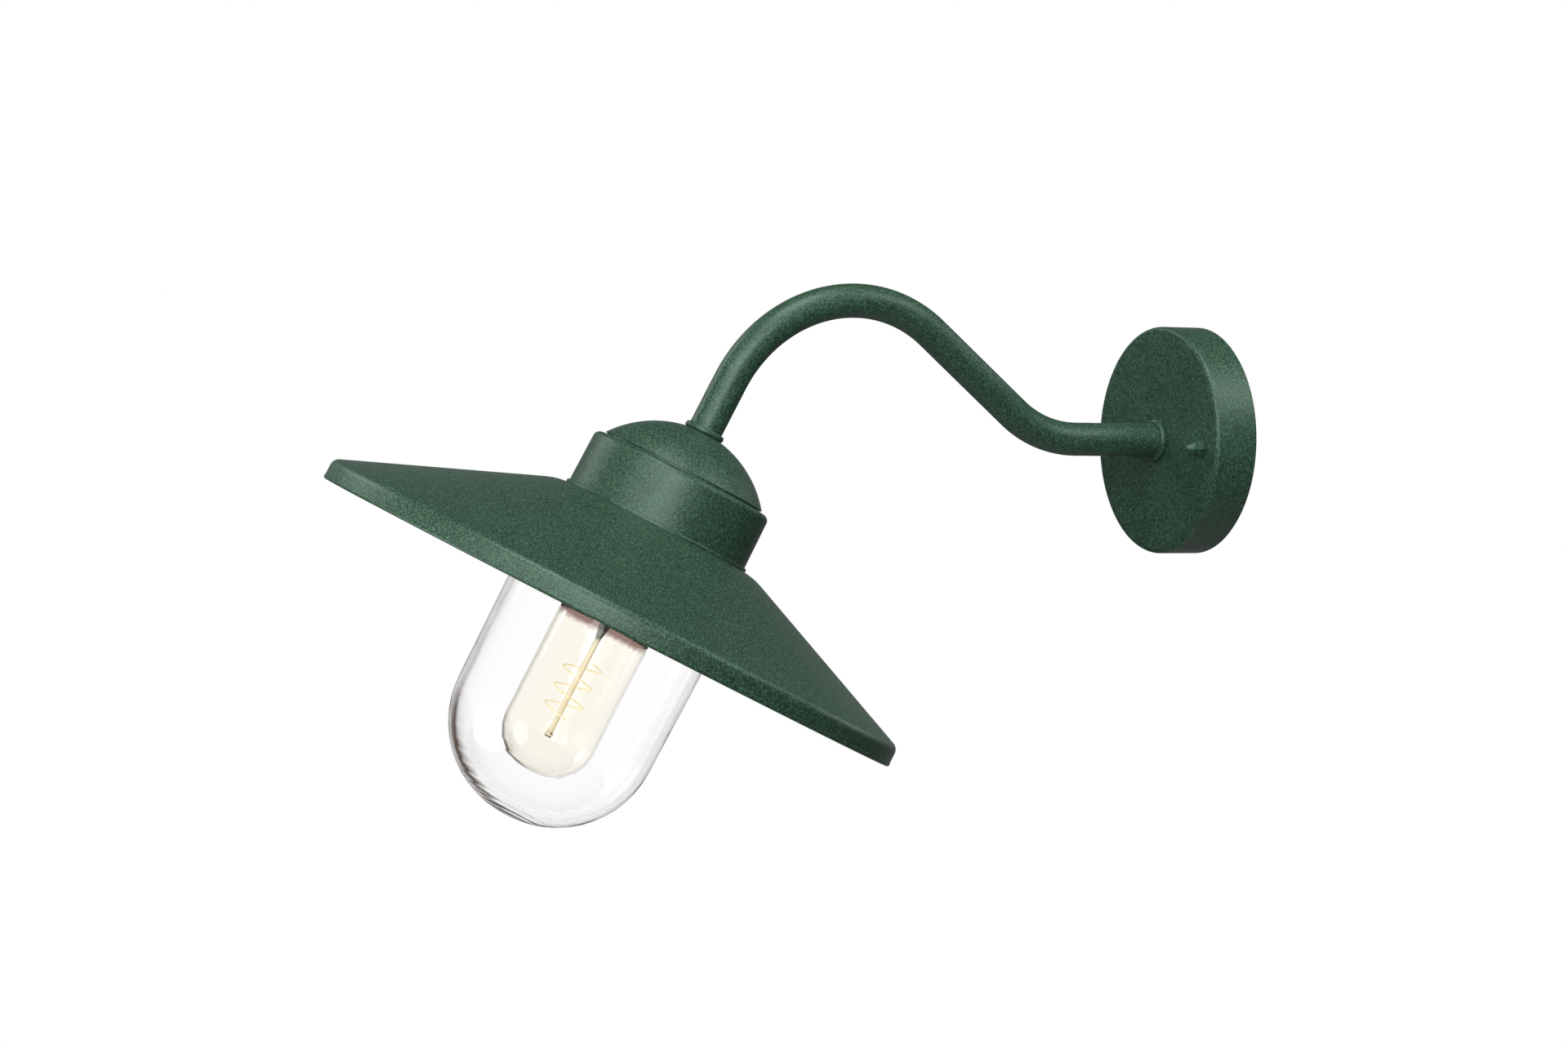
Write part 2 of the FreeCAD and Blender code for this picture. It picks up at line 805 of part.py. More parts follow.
def make_studs():
    """Threaded studs from the bracket through the wall plate."""
    studs = []
    tip = d.plate_depth + d.stud_reach
    waist = d.stud_radius - d.stud_chamfer
    for number, (x, y) in enumerate(stud_places, start=1):
        stud = turned("stud_%d" % number, [
            (0, d.stud_recess),
            (d.stud_radius, d.stud_recess),
            (d.stud_radius, tip - d.stud_chamfer),
            (waist, tip),
            (0, tip),
        ])
        studs.append(moved(stud, x, y))
    on_wall(gathered("bracket_studs", studs))


def make_canopy():
    """The visible wall plate: a shallow drawn cup with its open side to the wall."""
    inner = d.plate_radius - d.sheet_wall
    body = turned("canopy", [
        (pipe_hole, plate_inside),
        (inner, plate_inside, d.plate_edge_round - d.sheet_wall),
        (inner, d.plate_gasket_thick),
        (d.plate_radius, d.plate_gasket_thick),
        (d.plate_radius, d.plate_depth, d.plate_edge_round),
        (pipe_hole, d.plate_depth),
    ])
    drilled(body, "stud_holes", [(x, y, d.stud_radius + d.hole_gap) for x, y in stud_places])
    on_wall(body)


def make_cap_nuts():
    """Domed hexagon nuts on the studs."""
    nuts = []
    foot = d.plate_depth
    waist = foot + d.cap_nut_hex_height
    top = foot + d.cap_nut_height
    slope_start = waist + d.cap_nut_straight
    bore_radius = d.stud_radius + d.thread_gap
    bore_depth = d.stud_reach + d.hole_gap
    for number, (x, y) in enumerate(stud_places, start=1):
        label = "cap_nut_%d" % number
        dome = turned(label + "_dome", [
            (0, waist - d.cap_nut_hex_height / 2),
            (d.cap_nut_dome_radius, waist - d.cap_nut_hex_height / 2),
            (d.cap_nut_dome_radius, slope_start, d.cap_nut_tip_radius),
            (d.cap_nut_tip_radius, top, d.cap_nut_tip_radius / 2),
            (0, top),
        ])
        hexagon = hex_bar(label + "_hex", d.cap_nut_flats, d.cap_nut_hex_height, foot)
        bore = cylinder(label + "_bore", bore_radius, bore_depth, 0, 0, foot)
        blank = fused(label + "_blank", [dome, hexagon])
        nuts.append(moved(cut(label, blank, [bore]), x, y))
    on_wall(gathered("cap_nuts", nuts))


def collar(name, foot):
    """Round-edged spacer ring at one end of the arm."""
    return ring(name, pipe_hole, d.collar_radius, foot, foot + d.collar_height, d.collar_round)


def pipe(name, low, high):
    """Hollow threaded pipe between two heights; its thread is left plain."""
    shoulder = d.pipe_radius - d.pipe_chamfer
    return turned(name, [
        (d.pipe_bore, low),
        (shoulder, low),
        (d.pipe_radius, low + d.pipe_chamfer),
        (d.pipe_radius, high - d.pipe_chamfer),
        (shoulder, high),
        (d.pipe_bore, high),
    ])


def lock_nut(name, foot):
    """Hexagon nut on the hollow pipe."""
    blank = hex_bar(name + "_blank", d.lock_nut_flats, d.lock_nut_height, foot)
    return cut(name, blank, [cylinder(name + "_bore", pipe_hole, d.lock_nut_height, 0, 0, foot)])


def lock_washer(name, foot):
    """Washer with notched teeth round its edge."""
    body = ring(name, pipe_hole, d.lock_washer_radius, foot, foot + d.lock_washer_thick)
    drilled(body, name + "_notch", [(d.lock_washer_radius, 0, d.lock_washer_notch / 2)], WASHER_NOTCHES)
    return body


def plug(name, low, high):
    """Threaded insert inside the end of the arm."""
    return ring(name, pipe_hole, d.tube_radius - d.tube_wall - d.thread_gap, low, high)


def bush(name, mouth, direction):
    """Smooth bush in the pipe's mouth, so that the lead isn't cut; it points into the pipe."""
    flange = mouth - d.bush_flange_thick * direction
    tip = mouth + d.bush_length * direction
    inner = d.lead_radius + d.thread_gap
    outer = d.pipe_bore - d.thread_gap
    return turned(name, [
        (inner, flange),
        (d.bush_flange_radius, flange),
        (d.bush_flange_radius, mouth),
        (outer, mouth),
        (outer, tip),
        (inner, tip),
    ])


wall_collar_foot = d.plate_depth
wall_tube_end = wall_collar_foot + d.collar_height
wall_pipe_end = plate_inside - d.pipe_in_plate
wall_lead_end = wall_pipe_end - d.bush_flange_thick - d.lead_past_bush


def make_wall_joint():
    """What clamps the arm's wall end to the wall plate."""
    washer_foot = plate_inside - d.lock_washer_thick
    on_wall(collar("wall_collar", wall_collar_foot))
    on_wall(pipe("wall_pipe", wall_pipe_end, wall_tube_end + d.pipe_in_plug))
    on_wall(lock_washer("wall_lock_washer", washer_foot))
    on_wall(lock_nut("wall_lock_nut", washer_foot - d.lock_nut_height))
    on_wall(plug("wall_plug", wall_tube_end, wall_tube_end + d.plug_length))
    on_wall(bush("wall_bush", wall_pipe_end, 1))


# --- wiring --------------------------------------------------------------------------------

block_middle = d.block_foot + d.block_width / 2
block_screw_x = d.block_pole_pitch / 2
wire_height = d.bracket_thick + d.block_wire_height
pole_places = [-d.block_pole_pitch, 0, d.block_pole_pitch]
clamp_places = [block_middle - d.clamp_screw_spread, block_middle + d.clamp_screw_spread]
block_top = d.bracket_thick + d.block_height
clamp_top = block_top - d.barrel_inset
clamp_foot = wire_height + d.core_radius
lug_mouth = d.lug_radius + d.lug_thick


def make_terminal_block():
    """Three-pole block: moulded body, brass barrels, clamp screws and its fixing screw."""
    body = block("block_blank", -d.block_half_length, d.block_foot, d.bracket_thick,
                 d.block_half_length * 2, d.block_width, d.block_height)
    tools = []
    barrels = []
    screws = []
    barrel_length = d.block_width - d.barrel_inset * 2
    for pole, x in enumerate(pole_places, start=1):
        channel = d.barrel_radius + d.thread_gap
        tools.append(cylinder("channel_%d" % pole, channel, d.block_width, x, d.block_foot, wire_height, "y"))
        label = "barrel_%d" % pole
        start = d.block_foot + d.barrel_inset
        rod = cylinder(label + "_rod", d.barrel_radius, barrel_length, x, start, wire_height, "y")
        openings = [cylinder(label + "_bore", d.barrel_bore, barrel_length, x, start, wire_height, "y")]
        for place, y in enumerate(clamp_places, start=1):
            name = "clamp_%d_%d" % (pole, place)
            hole = d.clamp_screw_radius + d.thread_gap
            tools.append(cylinder(name + "_well", hole + d.hole_gap, d.block_height, x, y, wire_height))
            openings.append(cylinder(name + "_hole", hole, d.barrel_radius * 2, x, y, wire_height))
            screws.append(cylinder(name, d.clamp_screw_radius, clamp_top - clamp_foot, x, y, clamp_foot))
        barrels.append(cut(label, rod, openings))
    shank = d.block_screw_radius
    head = d.block_screw_head
    seat = block_top - d.barrel_inset * 2
    tools.append(cylinder("block_screw_hole", shank + d.thread_gap, d.block_height, block_screw_x,
                          block_middle, d.bracket_thick))
    tools.append(cylinder("block_screw_well", head + d.thread_gap, d.block_height, block_screw_x,
                          block_middle, seat))
    on_wall(cut("terminal_block", body, tools))
    on_wall(gathered("terminal_barrels", barrels))
    on_wall(gathered("terminal_screws", screws))
    screw = turned("block_screw_part", [
        (0, d.stud_recess),
        (shank, d.stud_recess),
        (shank, seat),
        (head, seat),
        (head, clamp_top, d.stud_chamfer),
        (0, clamp_top),
    ])
    on_wall(gathered("block_screw", [moved(screw, block_screw_x, block_middle)]))


def make_earth():
    """Earth screw on the bracket with the ring lug that it clamps."""
    seat = d.bracket_thick + d.lug_thick
    top = seat + d.earth_screw_head_height
    screw = turned("earth_screw_part", [
        (0, d.stud_recess),
        (d.earth_screw_radius, d.stud_recess),
        (d.earth_screw_radius, seat),
        (d.earth_screw_head, seat),
        (d.earth_screw_head, top, d.collar_round),
        (0, top),
    ])
    on_wall(gathered("earth_screw", [moved(screw, 0, -d.earth_screw_drop)]))
    foot = d.bracket_thick
    rise = foot + d.lug_barrel_radius
    start = d.earth_screw_head + d.thread_gap
    eye = cylinder("lug_eye", d.lug_radius, d.lug_thick, 0, 0, foot)
    barrel = cylinder("lug_barrel", d.lug_barrel_radius, d.lug_barrel_length, start, 0, rise, "x")
    hole = cylinder("lug_hole", d.earth_screw_radius + d.thread_gap, d.lug_thick, 0, 0, foot)
    bore = cylinder("lug_bore", d.core_radius, d.lug_barrel_length, lug_mouth, 0, rise, "x")
    lug = cut("earth_lug_part", fused("lug_blank", [eye, barrel]), [hole, bore])
    on_wall(gathered("earth_lug", [moved(lug, 0, -d.earth_screw_drop)]))


def make_wall_cores():
    """Insulated cores between the lead, the earth lug and the terminal block."""
    in_block = float(d.block_foot + d.barrel_inset * 2)
    height = float(wire_height)
    before_block = in_block - float(d.core_run_in)
    bend = float(d.core_bend_radius)
    for name, side, pole in (("live_core", -1, 0), ("neutral_core", 1, 1)):
        start = side * float(d.core_spread)
        pole_x = float(pole_places[pole])
        wire = rounded_wire([
            Vector(start, 0, float(wall_lead_end)),
            Vector(start, 0, height),
            Vector(pole_x, before_block, height),
            Vector(pole_x, in_block, height),
        ], bend)
        on_wall(shaped(name, [tube_along(wire, d.core_radius)]))
    lug_y = -float(d.earth_screw_drop)
    lug_z = float(d.bracket_thick + d.lug_barrel_radius)
    detour_x = float(d.core_detour)
    pole_x = float(pole_places[2])
    wire = rounded_wire([
        Vector(float(lug_mouth), lug_y, lug_z),
        Vector(detour_x, lug_y, lug_z),
        Vector(detour_x, before_block / 2, height),
        Vector(pole_x, before_block, height),
        Vector(pole_x, in_block, height),
    ], bend)
    on_wall(shaped("earth_core", [tube_along(wire, d.core_radius)]))


# --- head ----------------------------------------------------------------------------------

holder_boss_foot = holder_top - d.holder_boss_height
holder_roof = holder_boss_foot - d.holder_round
holder_pipe_end = holder_roof - d.pipe_in_holder
head_lead_end = holder_pipe_end - d.bush_flange_thick - d.lead_past_bush

gallery_barrel_radius = derived("gallery_barrel_radius", d.neck_radius - d.gallery_barrel_inset)
gallery_bore = derived("gallery_bore", gallery_barrel_radius - d.gallery_wall)
gallery_flange_radius = derived("gallery_flange_radius", d.neck_radius - d.gallery_flange_inset)
gallery_screw_circle = derived("gallery_screw_circle", d.neck_radius - d.gallery_screw_inset)
shade_hole_radius = derived("shade_hole_radius", gallery_barrel_radius + d.hole_gap * 2)
crown_radius = derived("crown_radius", d.neck_radius + d.crown_proud)
strap_half_length = d.neck_radius - d.neck_draft - d.neck_wall - d.strap_gap
dome_base_radius = derived("dome_base_radius", d.neck_radius - d.dome_base_inset)
base_square = dome_base_radius * dome_base_radius
flat_square = d.dome_flat_radius * d.dome_flat_radius
dome_sink = derived("dome_sink", ((base_square - flat_square) / d.dome_rise - d.dome_rise) / 2)
dome_centre = derived("dome_centre", neck_top - dome_sink)
dome_radius = derived("dome_radius", root(base_square + dome_sink * dome_sink))


def sphere_radius_at(radius, height):
    """Radius of the dome's sphere at a height of the head frame."""
    rise = height - dome_centre
    return root(radius * radius - rise * rise)


def make_arm():
    """Bent steel tube, and the lead inside it."""
    swept_along_arm("arm_tube", [d.tube_radius, d.tube_radius - d.tube_wall], wall_tube_end, tube_end)
    swept_along_arm("lamp_lead", [d.lead_radius], wall_lead_end, head_lead_end)


def make_head_joint():
    """What clamps the dome, the neck and the lampholder to the arm's end."""
    washer_foot = dome_height - d.dome_wall - d.lock_washer_thick
    in_head(plug("head_plug", tube_end, tube_end + d.plug_length))
    in_head(collar("head_collar", dome_height))
    in_head(pipe("head_pipe", holder_pipe_end, tube_end + d.pipe_in_plug))
    in_head(bush("head_bush", holder_pipe_end, 1))
    in_head(lock_washer("head_lock_washer", washer_foot))
    in_head(lock_nut("head_lock_nut", washer_foot - d.lock_nut_height))
    in_head(lock_nut("strap_nut", strap_nut_foot))
    strap = plate("holder_strap", [
        (-strap_half_length, -d.strap_half_width, d.collar_round),
        (strap_half_length, -d.strap_half_width, d.collar_round),
        (strap_half_length, d.strap_half_width, d.collar_round),
        (-strap_half_length, d.strap_half_width, d.collar_round),
    ], d.strap_thick, height=strap_top - d.strap_thick)
    drilled(strap, "strap_hole", [(0, 0, pipe_hole)])
    in_head(strap)


def make_dome():
    """Cast cap: part of a sphere that stands on the neck, with a flat for the collar."""
    inner = dome_radius - d.dome_wall
    inside = dome_height - d.dome_wall
    in_head(turned("dome_cap", [
        Corner(pipe_hole, dome_height),
        Corner(pipe_hole, inside),
        Corner(sphere_radius_at(inner, inside), inside, arc=-inner),
        Corner(sphere_radius_at(inner, neck_top), neck_top),
        Corner(dome_base_radius, neck_top, arc=dome_radius),
        Corner(d.dome_flat_radius, dome_height),
    ]))


def make_neck():
    """Cast drum between the dome and the shade, with bosses for the gallery screws."""
    foot_inner = d.neck_radius - d.neck_wall
    top_radius = d.neck_radius - d.neck_draft
    hole_radius = d.neck_radius - d.neck_flange_width
    lip_top = d.shade_height + d.neck_lip_height
    lip_radius = d.neck_radius + d.neck_lip_proud
    body = turned("neck_ring", [
        (foot_inner, d.shade_height),
        (lip_radius, d.shade_height),
        (lip_radius, lip_top, d.neck_lip_proud / 2),
        (d.neck_radius, lip_top),
        (top_radius, neck_top, d.neck_round),
        (hole_radius, neck_top),
        (hole_radius, strap_top),
        (top_radius - d.neck_wall, strap_top, d.neck_round - d.neck_flange_thick),
    ])
    sketch = sketch_on(body, "XY_Plane", "boss_sketch", d.shade_height)
    tracer = Tracer(sketch)
    tracer.circle(0, gallery_screw_circle, d.boss_radius)
    tracer.finish()
    boss = body.newObject("PartDesign::Pad", "boss")
    boss.Profile = sketch
    boss.Length = float(d.boss_height)
    bind(boss, "Length", d.boss_height)
    patterned(body, boss, SCREW_COUNT, "bosses")
    sketch = sketch_on(body, "XY_Plane", "boss_hole_sketch", d.shade_height)
    tracer = Tracer(sketch)
    tracer.circle(0, gallery_screw_circle, d.gallery_screw_radius)
    tracer.finish()
    hole = body.newObject("PartDesign::Pocket", "boss_hole")
    hole.Profile = sketch
    hole.Reversed = True
    hole.Length = float(d.boss_height)
    bind(hole, "Length", d.boss_height)
    patterned(body, hole, SCREW_COUNT, "boss_holes")
    in_head(body)


def make_shade():
    """Spun sheet cone with an upright band and a folded hem."""
    wall = d.sheet_wall
    rise = d.shade_height - d.cone_foot_height
    run = d.shade_radius - crown_radius
    slant = root(rise * rise + run * run)
    inner_foot = d.cone_foot_height - wall * (slant - rise) / run
    inner_crown = crown_radius - wall * (slant - run) / rise
    hem_radius = d.shade_radius + d.hem_proud
    body = turned("shade", [
        (shade_hole_radius, d.shade_height),
        (shade_hole_radius, plate_bottom),
        (inner_crown, plate_bottom, d.crown_round - wall),
        (d.shade_radius - wall, inner_foot, d.shoulder_round - wall),
        (d.shade_radius - wall, d.hem_height),
        (hem_radius - d.hem_thick, d.hem_height),
        (hem_radius - d.hem_thick, 0),
        (hem_radius, 0, d.hem_round),
        (hem_radius, d.hem_height, d.hem_round),
        (d.shade_radius, d.hem_height),
        (d.shade_radius, d.cone_foot_height, d.shoulder_round),
        (crown_radius, d.shade_height, d.crown_round),
    ])
    hole = d.gallery_screw_radius + d.hole_gap
    drilled(body, "shade_screw_hole", [(0, gallery_screw_circle, hole)], SCREW_COUNT)
    in_head(body)
    gasket = ring("shade_gasket", shade_hole_radius, gallery_flange_radius, flange_top, plate_bottom)
    drilled(gasket, "gasket_screw_hole", [(0, gallery_screw_circle, hole)], SCREW_COUNT)
    in_head(gasket)


def make_gallery():
    """Threaded ring that the glass screws into, and the screws that hold it under the shade."""
    bore = gallery_bore
    mouth_radius = gallery_bore - d.gallery_mouth_inset
    body = turned("gallery_ring", [
        (bore, flange_bottom),
        (gallery_flange_radius, flange_bottom, d.stud_chamfer),
        (gallery_flange_radius, flange_top),
        (gallery_barrel_radius, flange_top),
        (gallery_barrel_radius, gallery_top),
        (mouth_radius, gallery_top),
        (mouth_radius, gallery_top - d.gallery_top_thick),
        (bore, gallery_top - d.gallery_top_thick),
    ])
    hole = d.gallery_screw_radius + d.hole_gap
    drilled(body, "gallery_screw_hole", [(0, gallery_screw_circle, hole)], SCREW_COUNT)
    in_head(body)
    screws = []
    head_foot = flange_bottom - d.gallery_screw_head_height
    tip = flange_bottom + d.gallery_screw_length
    for number in range(SCREW_COUNT):
        screw = turned("gallery_screw_%d" % (number + 1), [
            (0, head_foot),
            (d.gallery_screw_head, head_foot, d.collar_round),
            (d.gallery_screw_head, flange_bottom),
            (d.gallery_screw_radius, flange_bottom),
            (d.gallery_screw_radius, tip - d.stud_chamfer),
            (d.gallery_screw_radius - d.stud_chamfer, tip),
            (0, tip),
        ])
        angle = fixed(SCREW_START + 360 / SCREW_COUNT * number)
        x = gallery_screw_circle * cosine(angle)
        y = gallery_screw_circle * sine(angle)
        screws.append(moved(screw, x, y))
    in_head(gathered("gallery_screws", screws))


jar_seat = gallery_top - d.gallery_top_thick
jar_top = derived("jar_top", jar_seat - d.jar_gasket_thick - d.seal_gap * 2)
jar_neck_radius = derived("jar_neck_radius", gallery_bore - d.turn_gap)
jar_shoulder_radius = derived("jar_shoulder_radius", jar_neck_radius + d.jar_shoulder_proud)


def make_jar():
    """Thick clear glass with a straight threaded neck, a round shoulder and a round end."""
    wall = d.jar_wall
    foot_radius = jar_shoulder_radius - d.jar_taper
    foot_round = foot_radius - d.jar_foot_flat
    in_head(turned("glass_jar", [
        (jar_neck_radius - wall, jar_top),
        (jar_neck_radius - wall, jar_shoulder_height - wall, d.jar_neck_round + wall),
        (jar_shoulder_radius - wall, jar_shoulder_height - wall, d.jar_shoulder_round - wall),
        (foot_radius - wall, jar_end + wall, foot_round - wall),
        (0, jar_end + wall),
        (0, jar_end),
        (foot_radius, jar_end, foot_round),
        (jar_shoulder_radius, jar_shoulder_height, d.jar_shoulder_round),
        (jar_neck_radius, jar_shoulder_height, d.jar_neck_round),
        (jar_neck_radius, jar_top),
    ]))
    inner = jar_neck_radius - wall + d.seal_gap
    foot = jar_top + d.seal_gap
    in_head(ring("glass_gasket", inner, inner + d.jar_gasket_width, foot, foot + d.jar_gasket_thick))


# --- lampholder ----------------------------------------------------------------------------

holder_inner = d.holder_radius - d.holder_wall


def make_lampholder():
    """Two-part moulded case, ceramic core, screw shell, contact tongue and terminals."""
    in_head(turned("holder_cap", [
        (pipe_hole, holder_top),
        (d.holder_boss_radius, holder_top, d.collar_round),
        (d.holder_boss_radius, holder_boss_foot, d.collar_round),
        (d.holder_radius, holder_boss_foot - d.holder_wall, d.holder_round),
        (d.holder_radius, holder_joint),
        (holder_inner, holder_joint),
        (holder_inner, holder_roof - d.holder_wall, d.holder_wall),
        (pipe_hole, holder_roof),
    ]))
    mouth_radius = d.bulb_cap_radius + d.holder_mouth_gap
    in_head(turned("holder_body", [
        (mouth_radius, holder_mouth),
        (d.holder_radius, holder_mouth, d.collar_round),
        (d.holder_radius, holder_joint),
        (holder_inner, holder_joint),
        (holder_inner, holder_mouth + d.holder_wall),
        (mouth_radius, holder_mouth + d.holder_wall),
    ]))
    strip = d.contact_strip_thick
    core_radius = holder_inner - d.hole_gap
    in_head(ring("holder_core", strip * 2, core_radius, core_foot, holder_joint))
    shell_bore = d.bulb_cap_radius + d.turn_gap
    shell_foot = holder_mouth + d.shell_rise
    in_head(ring("thread_shell", shell_bore, shell_bore + d.shell_wall, shell_foot, core_foot))
    tip = bulb_tip + d.turn_gap
    bend = d.bulb_tip_radius
    pad = bend / 2
    in_head(plate("centre_contact", [
        (-d.contact_foot_reach, core_foot),
        (-d.contact_foot_reach, core_foot - strip),
        (-bend, core_foot - strip),
        (-pad, tip),
        (pad, tip),
        (pad, tip + strip),
        (strip - pad, tip + strip),
        (strip - bend, core_foot),
    ], d.contact_strip_width, "XZ_Plane", -d.contact_strip_width / 2))
    posts = []
    for number, x in enumerate((-d.holder_post_reach, d.holder_post_reach), start=1):
        posts.append(cylinder("holder_post_%d" % number, d.holder_post_radius, d.holder_post_height, x, 0,
                              holder_joint))
    in_head(gathered("holder_terminals", posts))
    cores = []
    landing = float(holder_joint + d.holder_post_height + d.core_radius)
    for side in (-1, 1):
        spread = side * float(d.core_spread)
        cores.append(tube_along(rounded_wire([
            Vector(spread, 0, float(head_lead_end)),
            Vector(spread, 0, landing),
            Vector(side * float(d.holder_post_reach), 0, landing),
        ], float(d.core_bend_radius)), d.core_radius))
    in_head(shaped("holder_cores", cores))


# --- light bulb ----------------------------------------------------------------------------

def helix_point(radius, pitch, top, angle):
    """A point of the filament's winding, angle in radians from its upper end."""
    return Vector(radius * math.cos(angle), radius * math.sin(angle), top - pitch * angle / (2 * math.pi))


def helix_tangent(radius, pitch, angle):
    """Unit direction of the winding at an angle."""
    return Vector(-radius * math.sin(angle), radius * math.cos(angle), -pitch / (2 * math.pi)).normalize()


def biarc(start, start_way, end, end_way):
    """Two tangent arcs from one point and direction to another."""
    chord = end - start
    ways = start_way + end_way
    square = 2 * (1 - start_way.dot(end_way))
    along = chord.dot(ways)
    reach = (-along + math.sqrt(along * along + square * chord.dot(chord))) / square
    start_knot = start + start_way * reach
    end_knot = end - end_way * reach
    join = (start_knot + end_knot) * 0.5
    arcs = []
    for first, knot, last in ((start, start_knot, join), (join, end_knot, end)):
        middle = (first + last) * 0.5
        half_width = (last - first).Length / 2
        rise = knot - middle
        height = half_width * math.tan(math.atan2(rise.Length, half_width) / 2)
        arcs.append(Part.Arc(first, middle + rise.normalize() * height, last).toShape())
    return arcs


def least_gap(points, wire, step):
    """Clear distance between a winding's turns, points less than step apart along it left out."""
    spans = []
    for index, point in enumerate(points):
        spans += [(point - other).Length for other in points[index + step:]]
    return min(spans) - 2 * wire


def make_filament():
    """Wire wound round the stem, and the radial supports that hold it."""
    radius = float(d.filament_radius)
    wire_radius = float(d.filament_wire)
    pitch = float(d.filament_pitch)
    top = float(filament_top)
    step = 2 * math.pi / ARCS_PER_TURN
    edges = []
    for number in range(FILAMENT_TURNS * ARCS_PER_TURN):
        first = step * number
        last = first + step
        edges += biarc(helix_point(radius, pitch, top, first), helix_tangent(radius, pitch, first),
                       helix_point(radius, pitch, top, last), helix_tangent(radius, pitch, last))
    winding = Part.Wire(edges)
    in_head(shaped("filament", [tube_along(winding, wire_radius)]))
    points = winding.discretize(Number=FILAMENT_TURNS * POINTS_PER_TURN)
    gap = least_gap(points, wire_radius, POINTS_PER_TURN // 2)
    print("filament: least gap to itself %.2f mm" % gap)
    rod = float(d.stem_rod_radius)
    seat = radius - wire_radius - float(d.thread_gap)
    supports = []
    for number in range(FILAMENT_TURNS * 2 + 1):
        outer = helix_point(seat, pitch, top, math.pi * number)
        inner = helix_point(rod, pitch, top, math.pi * number)
        way = (outer - inner).normalize()
        supports.append(Part.makeCylinder(wire_radius / 2, (outer - inner).Length, inner, way))
    in_head(shaped("filament_supports", supports))


def make_bulb():
    """Tubular bulb: glass, cap, insulator, tip contact and the stem inside."""
    wall = d.bulb_wall
    neck_end = bulb_cap_foot + d.bulb_neck_in_cap
    in_head(turned("bulb_glass", [
        (d.bulb_neck_radius - wall, neck_end),
        (d.bulb_neck_radius - wall, bulb_shoulder_height),
        (d.bulb_radius - wall, bulb_shoulder_height - wall, d.bulb_shoulder_round - wall),
        (d.bulb_radius - wall, bulb_end + wall, d.bulb_end_round - wall),
        (0, bulb_end + wall),
        (0, bulb_end),
        (d.bulb_radius, bulb_end, d.bulb_end_round),
        (d.bulb_radius, bulb_shoulder_height, d.bulb_shoulder_round),
        (d.bulb_neck_radius, bulb_shoulder_height + wall),
        (d.bulb_neck_radius, neck_end),
    ]))
    inner = d.bulb_cap_radius - d.bulb_cap_wall
    throat = d.bulb_cap_top_radius - d.bulb_cap_wall
    in_head(turned("bulb_cap", [
        (inner, bulb_cap_foot),
        (d.bulb_cap_radius, bulb_cap_foot),
        (d.bulb_cap_radius, bulb_cap_shoulder, d.collar_round),
        (d.bulb_cap_top_radius, bulb_cap_top),
        (throat, bulb_cap_top),
        (throat, bulb_cap_top - d.bulb_cap_wall),
        (inner, bulb_cap_shoulder - d.bulb_cap_wall),
    ]))
    plug_radius = throat - d.thread_gap
    in_head(turned("bulb_insulator", [
        (0, bulb_cap_top - d.bulb_cap_wall),
        (plug_radius, bulb_cap_top - d.bulb_cap_wall),
        (plug_radius, bulb_cap_top),
        (d.bulb_tip_radius + d.bulb_cap_wall, bulb_insulator_top),
        (0, bulb_insulator_top),
    ]))
    in_head(turned("bulb_contact", [
        (0, bulb_insulator_top + d.thread_gap),
        (d.bulb_tip_radius, bulb_insulator_top + d.thread_gap),
        (d.bulb_tip_radius / 2, bulb_tip),
        (0, bulb_tip),
    ]))
    rod = d.stem_rod_radius
    in_head(turned("bulb_stem", [
        (0, stem_top),
        (d.stem_flare_radius, stem_top),
        (d.stem_flare_radius, stem_top - wall),
        (rod * 2, stem_top - d.stem_funnel),
        (rod, stem_top - d.stem_throat),
        (rod, stem_end + rod * 2),
        (d.stem_bead_radius, stem_end + rod, rod / 2),
        (rod, stem_end),
        (0, stem_end),
    ]))


# --- build, check and write ----------------------------------------------------------------

def check(recomputed):
    """Stop if anything failed to build or a sub-part isn't a sound solid."""
    for obj in recomputed.Objects:
        if "Invalid" in obj.State or "Error" in obj.State:
            raise RuntimeError("%s failed: %s" % (obj.Name, obj.State))
    for node in nodes:
        shape = node.Shape
        if shape.isNull() or not shape.isValid() or not shape.Solids:
            raise RuntimeError("%s has no sound solid" % node.Label)


def write_steps():
    """Write each sub-part to its own file."""
    os.makedirs("parts", exist_ok=True)
    for node in nodes:
        node.Shape.exportStep(os.path.join("parts", node.Label + ".step"))


make_wall_gasket()
make_bracket()
make_studs()
make_canopy()
make_cap_nuts()
make_wall_joint()
make_terminal_block()
make_earth()
make_wall_cores()
make_arm()
make_head_joint()
make_dome()
make_neck()
make_shade()
make_gallery()
make_jar()
make_lampholder()
make_bulb()
make_filament()
doc.recompute()
check(doc)
write_steps()
print("%d sub-parts, %d solids" % (len(nodes), sum(len(node.Shape.Solids) for node in nodes)))
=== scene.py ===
"""Looks of a gooseneck wall lamp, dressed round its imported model.

Sizes are in millimetres. A round piece of the head is built on the lamp's axis, with its origin at
the centre of the shade's rim and z up the axis; a round piece of the wall end is built on the wall
axis, with z out of the wall. Each finished piece is placed in its own mesh.
"""
import json
import logging
import math
from collections.abc import Callable, Sequence
from dataclasses import dataclass
from enum import Enum

import bmesh
import bpy
from mathutils import Matrix, Vector


